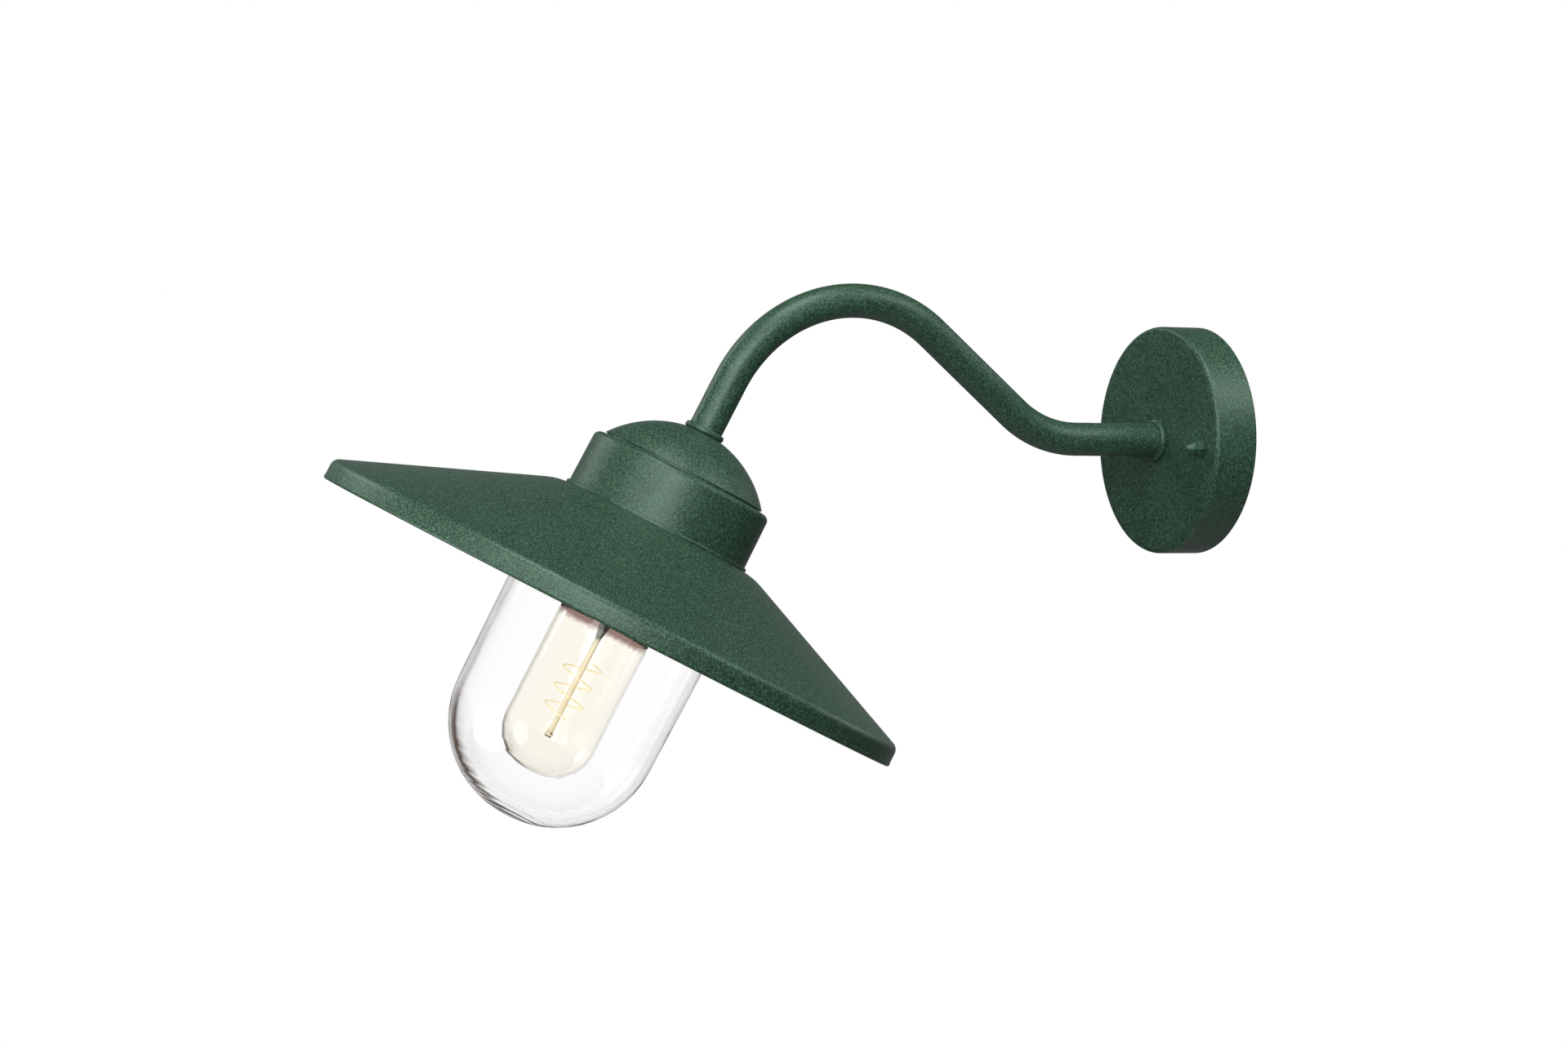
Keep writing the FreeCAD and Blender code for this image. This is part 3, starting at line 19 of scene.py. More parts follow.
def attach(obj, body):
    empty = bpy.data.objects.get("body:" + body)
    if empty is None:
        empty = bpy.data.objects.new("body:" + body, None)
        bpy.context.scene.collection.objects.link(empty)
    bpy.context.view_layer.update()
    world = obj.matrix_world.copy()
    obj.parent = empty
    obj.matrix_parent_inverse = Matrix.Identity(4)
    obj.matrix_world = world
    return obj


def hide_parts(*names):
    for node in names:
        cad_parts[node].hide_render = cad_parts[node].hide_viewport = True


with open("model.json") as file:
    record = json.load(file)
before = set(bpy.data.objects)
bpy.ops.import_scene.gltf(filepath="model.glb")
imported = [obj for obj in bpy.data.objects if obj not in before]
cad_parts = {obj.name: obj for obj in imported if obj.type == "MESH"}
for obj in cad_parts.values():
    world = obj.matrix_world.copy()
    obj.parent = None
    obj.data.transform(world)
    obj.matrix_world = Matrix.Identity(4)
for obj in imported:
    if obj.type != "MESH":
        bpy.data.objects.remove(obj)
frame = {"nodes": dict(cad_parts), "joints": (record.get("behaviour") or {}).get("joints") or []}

logging.basicConfig(level=logging.INFO, format="%(message)s")
log = logging.getLogger("lamp")

MM = 0.001
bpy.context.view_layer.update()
# Inputs and output of the Mix node for colours, and inputs of the one for numbers.
MIX_A, MIX_B, MIX_OUT = 6, 7, 2
LEVEL_A, LEVEL_B = 2, 3
# A point of a half section that is nearer than this lies on the axis.
ON_AXIS = 1e-6
# Play round a threaded pipe in the holes that it passes.
PIPE_PLAY = 0.05
# Points along one pitch of a cut thread; a rolled one has twice as many.
THREAD_POINTS = 6
# Radius of a nut's turned end, as a share of half its width across flats.
NUT_END = 0.97

Tree = bpy.types.NodeTree
Node = bpy.types.Node
Socket = bpy.types.NodeSocket
Shape = bmesh.types.BMesh
Colour = tuple[float, float, float, float]
# Amount to add to a radius, from the angle in turns, the radius and the height.
Relief = Callable[[float, float, float], float]


# --- small helpers -------------------------------------------------------------------------

def linear(colour: str) -> Colour:
    """Turn an sRGB hex colour into the linear one that a shader takes.

    Args:
        colour: Six hex digits after a hash.

    Returns:
        Red, green, blue and an alpha of one.
    """
    shares = [int(colour[start:start + 2], 16) / 255 for start in (1, 3, 5)]
    curve = [share / 12.92 if share <= 0.04045 else ((share + 0.055) / 1.055) ** 2.4
             for share in shares]
    return (*curve, 1.0)


def feed(tree: Tree, node: Node, inputs: dict) -> None:
    """Give a node's inputs their values and links.

    Args:
        tree: The node's tree.
        node: The node.
        inputs: Values or output sockets, by the name or number of the input.
    """
    for name, value in inputs.items():
        if isinstance(value, Socket):
            tree.links.new(value, node.inputs[name])
        else:
            node.inputs[name].default_value = value


def add_node(tree: Tree, kind: str, inputs: dict | None = None, **settings: str | bool) -> Node:
    """Add a node with its settings, its values and its links.

    Args:
        tree: The tree that gets the node.
        kind: Blender's name for the node.
        inputs: Values or output sockets, by the name or number of the input.
        **settings: Properties of the node itself.

    Returns:
        The new node.
    """
    node = tree.nodes.new(kind)
    for name, value in settings.items():
        setattr(node, name, value)
    feed(tree, node, inputs or {})
    return node


def per_metre(size_mm: float) -> float:
    """Texture scale whose features are size_mm across on Object coordinates."""
    return 1 / (size_mm * MM)


# --- places --------------------------------------------------------------------------------

class Place(Enum):
    """The two local frames that round pieces are built in."""

    WALL = "wall"
    HEAD = "head"

    def matrix(self) -> Matrix:
        """Find where this frame stands in the model.

        Returns:
            Matrix from this frame, in millimetres, to the model's frame, in metres.
        """
        if self is Place.WALL:
            columns = (Vector((1, 0, 0)), Vector((0, 0, 1)), Vector((0, -1, 0)))
            origin = Vector()
        else:
            joint = next(joint for joint in frame["joints"] if joint["name"] == "glass_turn")
            up = -Vector(joint["axis"]).normalized()
            across = Vector((1, 0, 0))
            columns = (across, up.cross(across), up)
            origin = Vector(joint["pos_m"])
        turn = Matrix([[column[row] for column in columns] for row in range(3)]).to_4x4()
        return Matrix.Translation(origin) @ turn @ Matrix.Scale(MM, 4)


# --- finishes ------------------------------------------------------------------------------

@dataclass(frozen=True)
class Finish:
    """One real surface finish; its material is made once and then shared."""

    name: str
    slot: str

    def material(self) -> bpy.types.Material:
        """Make the material, or find it if it is there already.

        Returns:
            The material.
        """
        found = bpy.data.materials.get(self.name)
        if found:
            return found
        made = bpy.data.materials.new(self.name)
        made.use_nodes = True
        tree = made.node_tree
        place = add_node(tree, "ShaderNodeTexCoord").outputs["Object"]
        self.paint(tree, tree.nodes["Principled BSDF"], place)
        return made

    def paint(self, tree: Tree, shader: Node, place: Socket) -> None:
        """Set the shader up; each kind of finish has its own way.

        Args:
            tree: The material's tree.
            shader: Its Principled shader.
            place: Object coordinates, in metres.
        """
        raise NotImplementedError


@dataclass(frozen=True)
class PowderCoat(Finish):
    """Polyester powder coat, sprayed dry and baked, fine-textured and satin.

    The baked grains leave a sandy skin: each grain catches the light, so a broad sheen shows
    light and dark specks. Their bumps and gloss are drawn, and their light and dark specks are
    also painted into the colour, as painted glints and painted shade. Slow waves in the coat's
    thickness shift its tone a little. Real grains are about 0.3 mm across, too fine to show here,
    so they are drawn three times as coarse.
    """

    colour: str = "#33513F"
    # The pale and deep speck colours are painted glints and painted shade of the grains.
    pale: str = "#4F765F"
    deep: str = "#1D3529"
    deep_at: float = 0.35
    colour_at: float = 0.52
    pale_at: float = 0.69
    sheen_tint: str = "#E4FFEE"
    roughness: float = 0.42
    gloss_spread: float = 0.09
    specular: float = 0.7
    grain_mm: float = 0.95
    relief_mm: float = 0.11
    relief_strength: float = 0.9
    wave_mm: float = 22.0
    tone_low: float = 0.90
    tone_high: float = 1.10

    def paint(self, tree: Tree, shader: Node, place: Socket) -> None:
        """Speckle the colour with painted glints and painted shade, and the gloss, with the same
        grain that roughens the skin.

        Args:
            tree: The material's tree.
            shader: Its Principled shader.
            place: Object coordinates, in metres.
        """
        grain = add_node(tree, "ShaderNodeTexNoise", {
            "Vector": place, "Scale": per_metre(self.grain_mm), "Detail": 2.0, "Roughness": 0.6})
        wave = add_node(tree, "ShaderNodeTexNoise", {
            "Vector": place, "Scale": per_metre(self.wave_mm), "Detail": 3.0})
        # Painted glints and painted shade: the grain's noise picks the deep, plain or pale colour.
        painted_specks = add_node(tree, "ShaderNodeValToRGB", {"Fac": grain.outputs["Fac"]})
        stops = painted_specks.color_ramp.elements
        stops[0].position = self.deep_at
        stops[0].color = linear(self.deep)
        stops[1].position = self.pale_at
        stops[1].color = linear(self.pale)
        stops.new(self.colour_at).color = linear(self.colour)
        tone = add_node(tree, "ShaderNodeMapRange", {
            "Value": wave.outputs["Fac"], "To Min": self.tone_low, "To Max": self.tone_high})
        colour = add_node(tree, "ShaderNodeVectorMath", {
            0: painted_specks.outputs["Color"], "Scale": tone.outputs["Result"]}, operation="SCALE")
        gloss = add_node(tree, "ShaderNodeMapRange", {
            "Value": grain.outputs["Fac"], "To Min": self.roughness - self.gloss_spread,
            "To Max": self.roughness + self.gloss_spread})
        skin = add_node(tree, "ShaderNodeBump", {
            "Height": grain.outputs["Fac"], "Distance": self.relief_mm * MM,
            "Strength": self.relief_strength})
        feed(tree, shader, {
            "Base Color": colour.outputs["Vector"], "Roughness": gloss.outputs["Result"],
            "Normal": skin.outputs["Normal"], "Specular IOR Level": self.specular,
            "Specular Tint": linear(self.sheen_tint)})


@dataclass(frozen=True)
class WorkedMetal(Finish):
    """Metal with a soft cloudy tone and the fine marks of rolling, drawing or turning."""

    colour: str
    cloudy: str
    roughness: float
    cloud_mm: float = 6.0
    mark_mm: float = 0.4
    mark_depth_mm: float = 0.01
    mark_strength: float = 0.5
    shinier: float = 0.08
    duller: float = 0.12

    def paint(self, tree: Tree, shader: Node, place: Socket) -> None:
        """Cloud the colour and break up the gloss with fine marks.

        Args:
            tree: The material's tree.
            shader: Its Principled shader.
            place: Object coordinates, in metres.
        """
        cloud = add_node(tree, "ShaderNodeTexNoise", {
            "Vector": place, "Scale": per_metre(self.cloud_mm), "Detail": 4.0})
        marks = add_node(tree, "ShaderNodeTexNoise", {
            "Vector": place, "Scale": per_metre(self.mark_mm), "Detail": 1.0})
        tint = add_node(tree, "ShaderNodeMix", {
            0: cloud.outputs["Fac"], MIX_A: linear(self.cloudy), MIX_B: linear(self.colour)},
            data_type="RGBA")
        gloss = add_node(tree, "ShaderNodeMapRange", {
            "Value": marks.outputs["Fac"], "To Min": self.roughness - self.shinier,
            "To Max": self.roughness + self.duller})
        skin = add_node(tree, "ShaderNodeBump", {
            "Height": marks.outputs["Fac"], "Distance": self.mark_depth_mm * MM,
            "Strength": self.mark_strength})
        feed(tree, shader, {
            "Base Color": tint.outputs[MIX_OUT], "Roughness": gloss.outputs["Result"],
            "Normal": skin.outputs["Normal"], "Metallic": 1.0})


@dataclass(frozen=True)
class Glass(Finish):
    """Soda-lime glass: slow waves in its wall bend what is seen through it.

    Its colour is painted darker where the wall is seen edge on, as painted shade that stands in for
    the dark that the glass bends and mirrors there. Its mirror is held back, because the bright
    lamps would otherwise show in it more than in the real one.
    """

    colour: str
    roughness: float
    wave_mm: float
    wave_depth_mm: float
    specular: float = 0.12
    # Colour of the painted shade where the wall is seen edge on, standing in for the dark that the
    # glass bends and mirrors there, and where that shade begins to show.
    edge: str = "#C9BEB8"
    mirror_tint: str = "#8C8C8C"
    painted_edge_from: float = 0.72
    index: float = 1.51

    def paint(self, tree: Tree, shader: Node, place: Socket) -> None:
        """Clear, faintly wavy, and painted darker at its edges, as painted shade.

        Args:
            tree: The material's tree.
            shader: Its Principled shader.
            place: Object coordinates, in metres.
        """
        wave = add_node(tree, "ShaderNodeTexNoise", {
            "Vector": place, "Scale": per_metre(self.wave_mm), "Detail": 1.0})
        skin = add_node(tree, "ShaderNodeBump", {
            "Height": wave.outputs["Fac"], "Distance": self.wave_depth_mm * MM, "Strength": 1.0})
        # Painted shade: the colour turns towards the edge colour where the wall is seen edge on.
        seen = add_node(tree, "ShaderNodeLayerWeight", {"Blend": 0.5})
        share = add_node(tree, "ShaderNodeMapRange", {
            "Value": seen.outputs["Facing"], "From Min": self.painted_edge_from, "From Max": 1.0},
            interpolation_type="SMOOTHSTEP")
        tint = add_node(tree, "ShaderNodeMix", {
            0: share.outputs["Result"], MIX_A: self.body(tree, place), MIX_B: linear(self.edge)},
            data_type="RGBA")
        feed(tree, shader, {
            "Base Color": tint.outputs[MIX_OUT], "Normal": skin.outputs["Normal"],
            "Roughness": self.roughness, "Transmission Weight": 1.0, "IOR": self.index,
            "Specular IOR Level": self.specular, "Specular Tint": linear(self.mirror_tint)})

    def body(self, tree: Tree, place: Socket) -> Socket | Colour:
        """Colour of the glass where it is seen face on."""
        return linear(self.colour)


@dataclass(frozen=True)
class GlassWithPaintedBand(Glass):
    """Glass with a brown band painted at its foot: painted shade for the dark lampholder and shade
    that show through the bulb's shoulder.

    The band lies above a height on the lamp's axis, and noise lifts and lowers its edge.
    """

    # Colour of the painted band of shade, and the height and fade of its lower edge.
    painted_band: str = "#C4B2AB"
    painted_band_low_mm: float = -6.0
    painted_band_fade_mm: float = 2.4
    ragged_mm: float = 2.8
    ragged_depth: float = 1.6

    def body(self, tree: Tree, place: Socket) -> Socket | Colour:
        """Clear below the painted band's ragged edge, and painted darker above it.

        Args:
            tree: The material's tree.
            place: Object coordinates, in metres.

        Returns:
            The colour's socket.
        """
        inwards = Place.HEAD.matrix().inverted()
        depth = self.ragged_mm * self.ragged_depth
        low = self.painted_band_low_mm - inwards[2][3] + depth / 2
        height = add_node(tree, "ShaderNodeVectorMath", {0: place, 1: tuple(inwards[2][:3])},
                          operation="DOT_PRODUCT")
        ragged = add_node(tree, "ShaderNodeTexNoise", {
            "Vector": place, "Scale": per_metre(self.ragged_mm), "Detail": 3.0})
        lifted = add_node(tree, "ShaderNodeMath", {
            0: ragged.outputs["Fac"], 1: depth, 2: height.outputs["Value"]},
            operation="MULTIPLY_ADD")
        # Share of the painted band of shade at each place.
        painted_band_share = add_node(tree, "ShaderNodeMapRange", {
            "Value": lifted.outputs["Value"], "From Min": low,
            "From Max": low + self.painted_band_fade_mm})
        tint = add_node(tree, "ShaderNodeMix", {
            0: painted_band_share.outputs["Result"], MIX_A: linear(self.colour), MIX_B: linear(self.painted_band)},
            data_type="RGBA")
        return tint.outputs[MIX_OUT]


@dataclass(frozen=True)
class Moulding(Finish):
    """Moulded, fired or extruded insulating stuff with a slightly mottled skin."""

    colour: str
    mottle: str
    roughness: float
    mottle_mm: float
    skin_mm: float = 0.5
    relief_mm: float = 0.02
    index: float = 1.5
    # Strength of a painted glow in the moulding's own colour; none unless given.
    painted_glow: float = 0.0
    gloss_spread: float = 0.06
    relief_strength: float = 0.7

    def paint(self, tree: Tree, shader: Node, place: Socket) -> None:
        """Mottle the colour and roughen the skin.

        Args:
            tree: The material's tree.
            shader: Its Principled shader.
            place: Object coordinates, in metres.
        """
        mottle = add_node(tree, "ShaderNodeTexNoise", {
            "Vector": place, "Scale": per_metre(self.mottle_mm), "Detail": 4.0})
        grain = add_node(tree, "ShaderNodeTexNoise", {
            "Vector": place, "Scale": per_metre(self.skin_mm), "Detail": 2.0})
        tint = add_node(tree, "ShaderNodeMix", {
            0: mottle.outputs["Fac"], MIX_A: linear(self.mottle), MIX_B: linear(self.colour)},
            data_type="RGBA")
        gloss = add_node(tree, "ShaderNodeMapRange", {
            "Value": grain.outputs["Fac"], "To Min": self.roughness - self.gloss_spread,
            "To Max": self.roughness + self.gloss_spread})
        skin = add_node(tree, "ShaderNodeBump", {
            "Height": grain.outputs["Fac"], "Distance": self.relief_mm * MM,
            "Strength": self.relief_strength})
        # The emission is that painted glow, which is zero unless a glow is given.
        feed(tree, shader, {
            "Base Color": tint.outputs[MIX_OUT], "Roughness": gloss.outputs["Result"],
            "Normal": skin.outputs["Normal"], "IOR": self.index,
            "Emission Color": linear(self.colour), "Emission Strength": self.painted_glow})


@dataclass(frozen=True)
class StripedSheath(Finish):
    """Green insulation with a yellow stripe down each side, extruded together."""

    green: str = "#2F7A35"
    yellow: str = "#D9C22B"
    roughness: float = 0.42
    stripe_from: float = 0.75

    def paint(self, tree: Tree, shader: Node, place: Socket) -> None:
        """Yellow on the two sides of the wire, green between them.

        Args:
            tree: The material's tree.
            shader: Its Principled shader.
            place: Object coordinates, which the stripes don't need.
        """
        facing = add_node(tree, "ShaderNodeTexCoord").outputs["Normal"]
        sideways = add_node(tree, "ShaderNodeSeparateXYZ", {"Vector": facing})
        either = add_node(tree, "ShaderNodeMath", {0: sideways.outputs["X"]}, operation="ABSOLUTE")
        stripe = add_node(tree, "ShaderNodeMath", {
            0: either.outputs["Value"], 1: self.stripe_from}, operation="GREATER_THAN")
        tint = add_node(tree, "ShaderNodeMix", {
            0: stripe.outputs["Value"], MIX_A: linear(self.green), MIX_B: linear(self.yellow)},
            data_type="RGBA")
        feed(tree, shader, {"Base Color": tint.outputs[MIX_OUT], "Roughness": self.roughness})


# Dark green polyester powder on steel and cast aluminium, baked to a satin sandy skin.
POWDER = PowderCoat("powder_coated_green", "powder_coat")
# Bright zinc plate with a clear passivate: cool silver, slightly cloudy.
ZINC = WorkedMetal("zinc_plated_steel", "zinc_steel", "#C2C7CA", "#A3A9AE", 0.32)
# Free-cutting brass turned on a bar lathe: warm yellow with a soft shine.
BRASS = WorkedMetal("turned_brass", "brass", "#D8B368", "#B88F48", 0.28, 4.0)
# Drawn aluminium strip, tumbled: pale, with a soft satin shine.
ALUMINIUM = WorkedMetal("drawn_aluminium", "cap_metal", "#DCDDDC", "#C4C6C6", 0.26, 5.0)
# Thick clear glass pressed in a mould and fire-polished: slow waves, and a painted greyish
# shade only at its edges.
PRESSED_GLASS = Glass("pressed_glass", "jar_glass", "#FFFFFF", 0.0, 16.0, 0.10)
# Thin blown bulb with a faint warm tint, painted olive shade at its edges, and a painted brown
# band of shade at its foot, where the dark lampholder and shade show through.
BLOWN_GLASS = GlassWithPaintedBand("blown_glass", "bulb_glass", "#FEFCF6", 0.0, 18.0, 0.05,
                           edge="#7F7560", painted_edge_from=0.62)
# Drawn amber rod of the bulb's stem, a little hazy, so that it glows pale gold, with painted
# shade at its edges.
AMBER_GLASS = Glass("amber_rod_glass", "stem_glass", "#FBF0D2", 0.28, 6.0, 0.02, 0.5, "#EBD9AE")
# Fine wire under a pale emitter coat: cream, matt. It has a faint painted glow of its own colour,
# which stands in for the light that the glass round it passes and the lamps' shadows leave out.
COATED_WIRE = Moulding("cream_coated_wire", "filament_wire", "#FFF1C4", "#F1DFA8", 0.55, 0.6, 0.3,
                       painted_glow=0.55)
# Black vitrite, the fused glass between the cap's shell and its tip.
VITRITE = Moulding("black_vitrite", "black_glass", "#141417", "#0C0C0F", 0.18, 2.0, 1.0, 0.01, 1.52)
# Phenolic moulding powder pressed hot: dark brown, glossy, faintly mottled.
BAKELITE = Moulding("brown_bakelite", "bakelite", "#4A2A1E", "#331B13", 0.26, 2.2, 0.8, 0.01, 1.6)
# Steatite, pressed and glazed: creamy white and glossy.
STEATITE = Moulding("glazed_steatite", "porcelain", "#ECE7DA", "#DDD6C6", 0.2, 3.0, 1.2, 0.01, 1.55)
# Polyamide, injection moulded: milky and slightly waxy.
POLYAMIDE = Moulding("milky_polyamide", "nylon", "#E6E3D8", "#D7D2C4", 0.42, 4.0)
# Closed-cell foam rubber: matt black with open-looking pores.
FOAM = Moulding("black_foam_rubber", "rubber", "#191919", "#0E0E0E", 0.85, 1.2, 0.9, 0.25)
# Silicone rubber, moulded: greyish and cloudy, soft sheen.
SILICONE = Moulding("grey_silicone", "silicone", "#C3C6C4", "#B2B6B4", 0.5, 3.0)
# Extruded PVC sheaths: smooth, slightly waxy, one colour through, and one with two stripes.
WHITE_SHEATH = Moulding("white_sheath", "lead_sheath", "#DEDBD1", "#D3CFC3", 0.45, 5.0)
BROWN_SHEATH = Moulding("brown_insulation", "brown_wire", "#5B331C", "#4D2A16", 0.42, 5.0)
BLUE_SHEATH = Moulding("blue_insulation", "blue_wire", "#2450A0", "#1E4590", 0.42, 5.0)
EARTH_SHEATH = StripedSheath("green_yellow_insulation", "earth_wire")


# --- shapes --------------------------------------------------------------------------------

@dataclass(frozen=True)
class Corner:
    """A corner of an outline: distance from the axis, height, and the radius that rounds it."""

    out: float
    up: float
    round: float = 0.0


def rounded(points: Sequence[Vector], rounds: Sequence[float], closed: bool,
            turn: float = 7.0) -> list[Vector]:
    """Points of a path with tangent arcs at its corners.

    Args:
        points: The corners.
        rounds: The radius at each corner.
        closed: Whether the last corner joins the first.
        turn: Degrees from one point of an arc to the next.

    Returns:
        The corners that stay sharp and the points along the arcs.
    """
    made = []
    count = len(points)
    for index, corner in enumerate(points):
        if not rounds[index] or (not closed and index in (0, count - 1)):
            made.append(corner.copy())
            continue
        back = (points[index - 1] - corner).normalized()
        ahead = (points[(index + 1) % count] - corner).normalized()
        half = back.angle(ahead) / 2
        centre = corner + (back + ahead).normalized() * (rounds[index] / math.sin(half))
        first = corner + back * (rounds[index] / math.tan(half)) - centre
        last = corner + ahead * (rounds[index] / math.tan(half)) - centre
        whole = first.angle(last)
        steps = max(2, math.ceil(math.degrees(whole) / turn))
        for step in range(steps + 1):
            angle = whole * step / steps
            mixed = first * math.sin(whole - angle) + last * math.sin(angle)
            made.append(centre + mixed / math.sin(whole))
    return made


def outline(corners: Sequence[Corner], closed: bool = True,
            step: float = 0.0) -> list[tuple[float, float]]:
    """Half section of a turned piece, as (distance from the axis, height).

    Args:
        corners: The outline's corners, in order.
        closed: False where both ends stand on the axis.
        step: Longest stretch between points, or 0 to leave straight runs whole.

    Returns:
        The outline's points.
    """
    path = rounded([Vector((corner.out, 0, corner.up)) for corner in corners],
                   [corner.round for corner in corners], closed)
    made = []
    for index, point in enumerate(path):
        made.append((point.x, point.z))
        if not step or (not closed and index == len(path) - 1):
            continue
        ahead = path[(index + 1) % len(path)]
        parts = math.ceil((ahead - point).length / step)
        for part in range(1, parts):
            middle = point.lerp(ahead, part / parts)
            made.append((middle.x, middle.z))
    return made


def arc_points(centre_up: float, radius: float, start: float, end: float,
               steps: int) -> list[Corner]:
    """Corners along a circle about a point of the axis, by their heights.

    Args:
        centre_up: Height of the circle's centre.
        radius: The circle's radius.
        start: Height of the first point.
        end: Height of the last point.
        steps: How many stretches lie between them.

    Returns:
        The corners, evenly spread round the arc.
    """
    first = math.asin((start - centre_up) / radius)
    last = math.asin((end - centre_up) / radius)
    angles = [first + (last - first) * step / steps for step in range(steps + 1)]
    return [Corner(radius * math.cos(angle), centre_up + radius * math.sin(angle))
            for angle in angles]


def turned(section: Sequence[tuple[float, float]], segments: int, closed: bool = True,
           relief: Relief | None = None) -> Shape:
    """A piece turned about z.

    Args:
        section: Points of its half section.
        segments: Stretches round the axis.
        closed: False where the section's two ends stand on the axis.
        relief: What is added to the radius, if anything.

    Returns:
        The piece, with its poles closed and its faces outwards.
    """
    made = bmesh.new()
    rings = []
    for out, up in section:
        if out < ON_AXIS:
            rings.append([made.verts.new((0, 0, up))] * segments)
            continue
        ring = []
        for number in range(segments):
            share = number / segments
            far = out + (relief(share, out, up) if relief else 0.0)
            angle = 2 * math.pi * share
            ring.append(made.verts.new((far * math.cos(angle), far * math.sin(angle), up)))
        rings.append(ring)
    pairs = list(zip(rings, rings[1:]))
    if closed:
        pairs.append((rings[-1], rings[0]))
    for lower, upper in pairs:
        for number in range(segments):
            ahead = (number + 1) % segments
            corners = [lower[number], lower[ahead], upper[ahead], upper[number]]
            made.faces.new(list(dict.fromkeys(corners)))
    bmesh.ops.recalc_face_normals(made, faces=made.faces)
    return made


@dataclass(frozen=True)
class Thread:
    """A right-hand thread between two heights, on all of a surface that lies past a radius.

    It fades out over a short run at each end. A cut thread is sharp, a rolled or moulded one round.
    """

    pitch: float
    depth: float
    low: float
    high: float
    fade: float
    past: float
    sharp: bool = True

    def __call__(self, share: float, out: float, up: float) -> float:
        """Cut the thread at one place of the surface.

        Args:
            share: Angle round the axis, in turns.
            out: Radius of the plain surface.
            up: Height.

        Returns:
            Amount to add to the radius.
        """
        ends = min(up - self.low, self.high - up) / self.fade
        if out <= self.past or ends <= 0:
            return 0.0
        phase = (up / self.pitch - share) % 1.0
        wave = 1 - abs(2 * phase - 1) if self.sharp else (1 - math.cos(2 * math.pi * phase)) / 2
        return -self.depth * wave * min(1.0, ends)


def joined(parts: Sequence[Shape]) -> Shape:
    """Put several shapes together.

    Args:
        parts: The shapes, which are used up.

    Returns:
        All of them in one.
    """
    made = bmesh.new()
    for part in parts:
        mesh = bpy.data.meshes.new("part")
        part.to_mesh(mesh)
        part.free()
        made.from_mesh(mesh)
        bpy.data.meshes.remove(mesh)
    return made


def hexagon(flats: float, low: float, high: float, bore: float, crown: float) -> Shape:
    """A hexagon nut on z, with its corners turned off.

    Args:
        flats: Width across its flats.
        low: Height of its foot.
        high: Height of its top.
        bore: Radius of its hole, or 0.
        crown: How far below the top the corners are turned off; the same at the foot.

    Returns:
        The nut, as a turned piece whose radius is capped by its flats.
    """
    sides = 6
    radius = flats / math.sqrt(3)
    flat = radius * math.cos(math.pi / sides)
    end = flat * NUT_END
    corners = [
        Corner(bore, low), Corner(end, low), Corner(radius, low + crown),
        Corner(radius, high - crown), Corner(end, high), Corner(bore, high),
    ]

    def cap(share: float, out: float, up: float) -> float:
        """Amount that brings a place inside the flats."""
        angle = (share * sides % 1.0 - 0.5) * 2 * math.pi / sides
        return min(out, flat / math.cos(angle)) - out

    hollow = bore > 0
    return turned(outline(corners, hollow), sides * 16, hollow, cap)


def collar(bore: float, radius: float, height: float, edge: float, foot: float) -> Shape:
    """Round-edged spacer ring at one end of the arm.

    Args:
        bore: Radius of the pipe that it stands round.
        radius: Outer radius.
        height: How high it is.
        edge: Radius of its outer edges.
        foot: Height that it stands on.

    Returns:
        The ring.
    """
    inner = bore + PIPE_PLAY
    top = foot + height
    return turned(outline([
        Corner(inner, foot), Corner(radius, foot, edge), Corner(radius, top, edge),
        Corner(inner, top),
    ]), segments=128)


@dataclass(frozen=True)
class CrossScrew:
    """Cross-recessed screw: its head stands on z = 0, above a threaded shank that runs down."""

    radius: float = 2.0
    length: float = 13.0
    head: float = 3.4
    head_height: float = 2.2
    pitch: float = 0.7
    # Shares of the shank's radius.
    tip: float = 0.8
    chamfer: float = 0.3
    thread_depth: float = 0.16
    thread_past: float = 0.9
    # Shares of the head's height, and then of its radius.
    head_edge: float = 0.6
    recess_depth: float = 0.55
    recess_from: float = 0.5
    recess_reach: float = 0.5
    recess_half: float = 0.16

    def shape(self) -> Shape:
        """Turn the screw, and press the recess into its head.

        Returns:
            The screw, point down.
        """
        radius, head, height = self.radius, self.head, self.head_height
        section = outline([
            Corner(0, -self.length), Corner(radius * self.tip, -self.length),
            Corner(radius, -self.length + radius * self.chamfer), Corner(radius, 0),
            Corner(head, 0), Corner(head, height, height * self.head_edge), Corner(0, height),
        ], closed=False, step=self.pitch / THREAD_POINTS)
        thread = Thread(self.pitch, radius * self.thread_depth, -self.length, -self.pitch,
                        self.pitch, radius * self.thread_past)
        made = turned(section, segments=48, closed=False, relief=thread)
        floor = height - self.recess_depth * height
        for number in range(2):
            turn = Matrix.Rotation(math.pi / 2 * number, 4, "Z")
            for vertex in made.verts:
                spot = turn @ vertex.co
                inside = (abs(spot.x) < head * self.recess_reach
                          and abs(spot.y) < head * self.recess_half)
                if inside and vertex.co.z > height * self.recess_from:
                    vertex.co.z = min(vertex.co.z, floor)
        return made


# --- finished pieces -----------------------------------------------------------------------

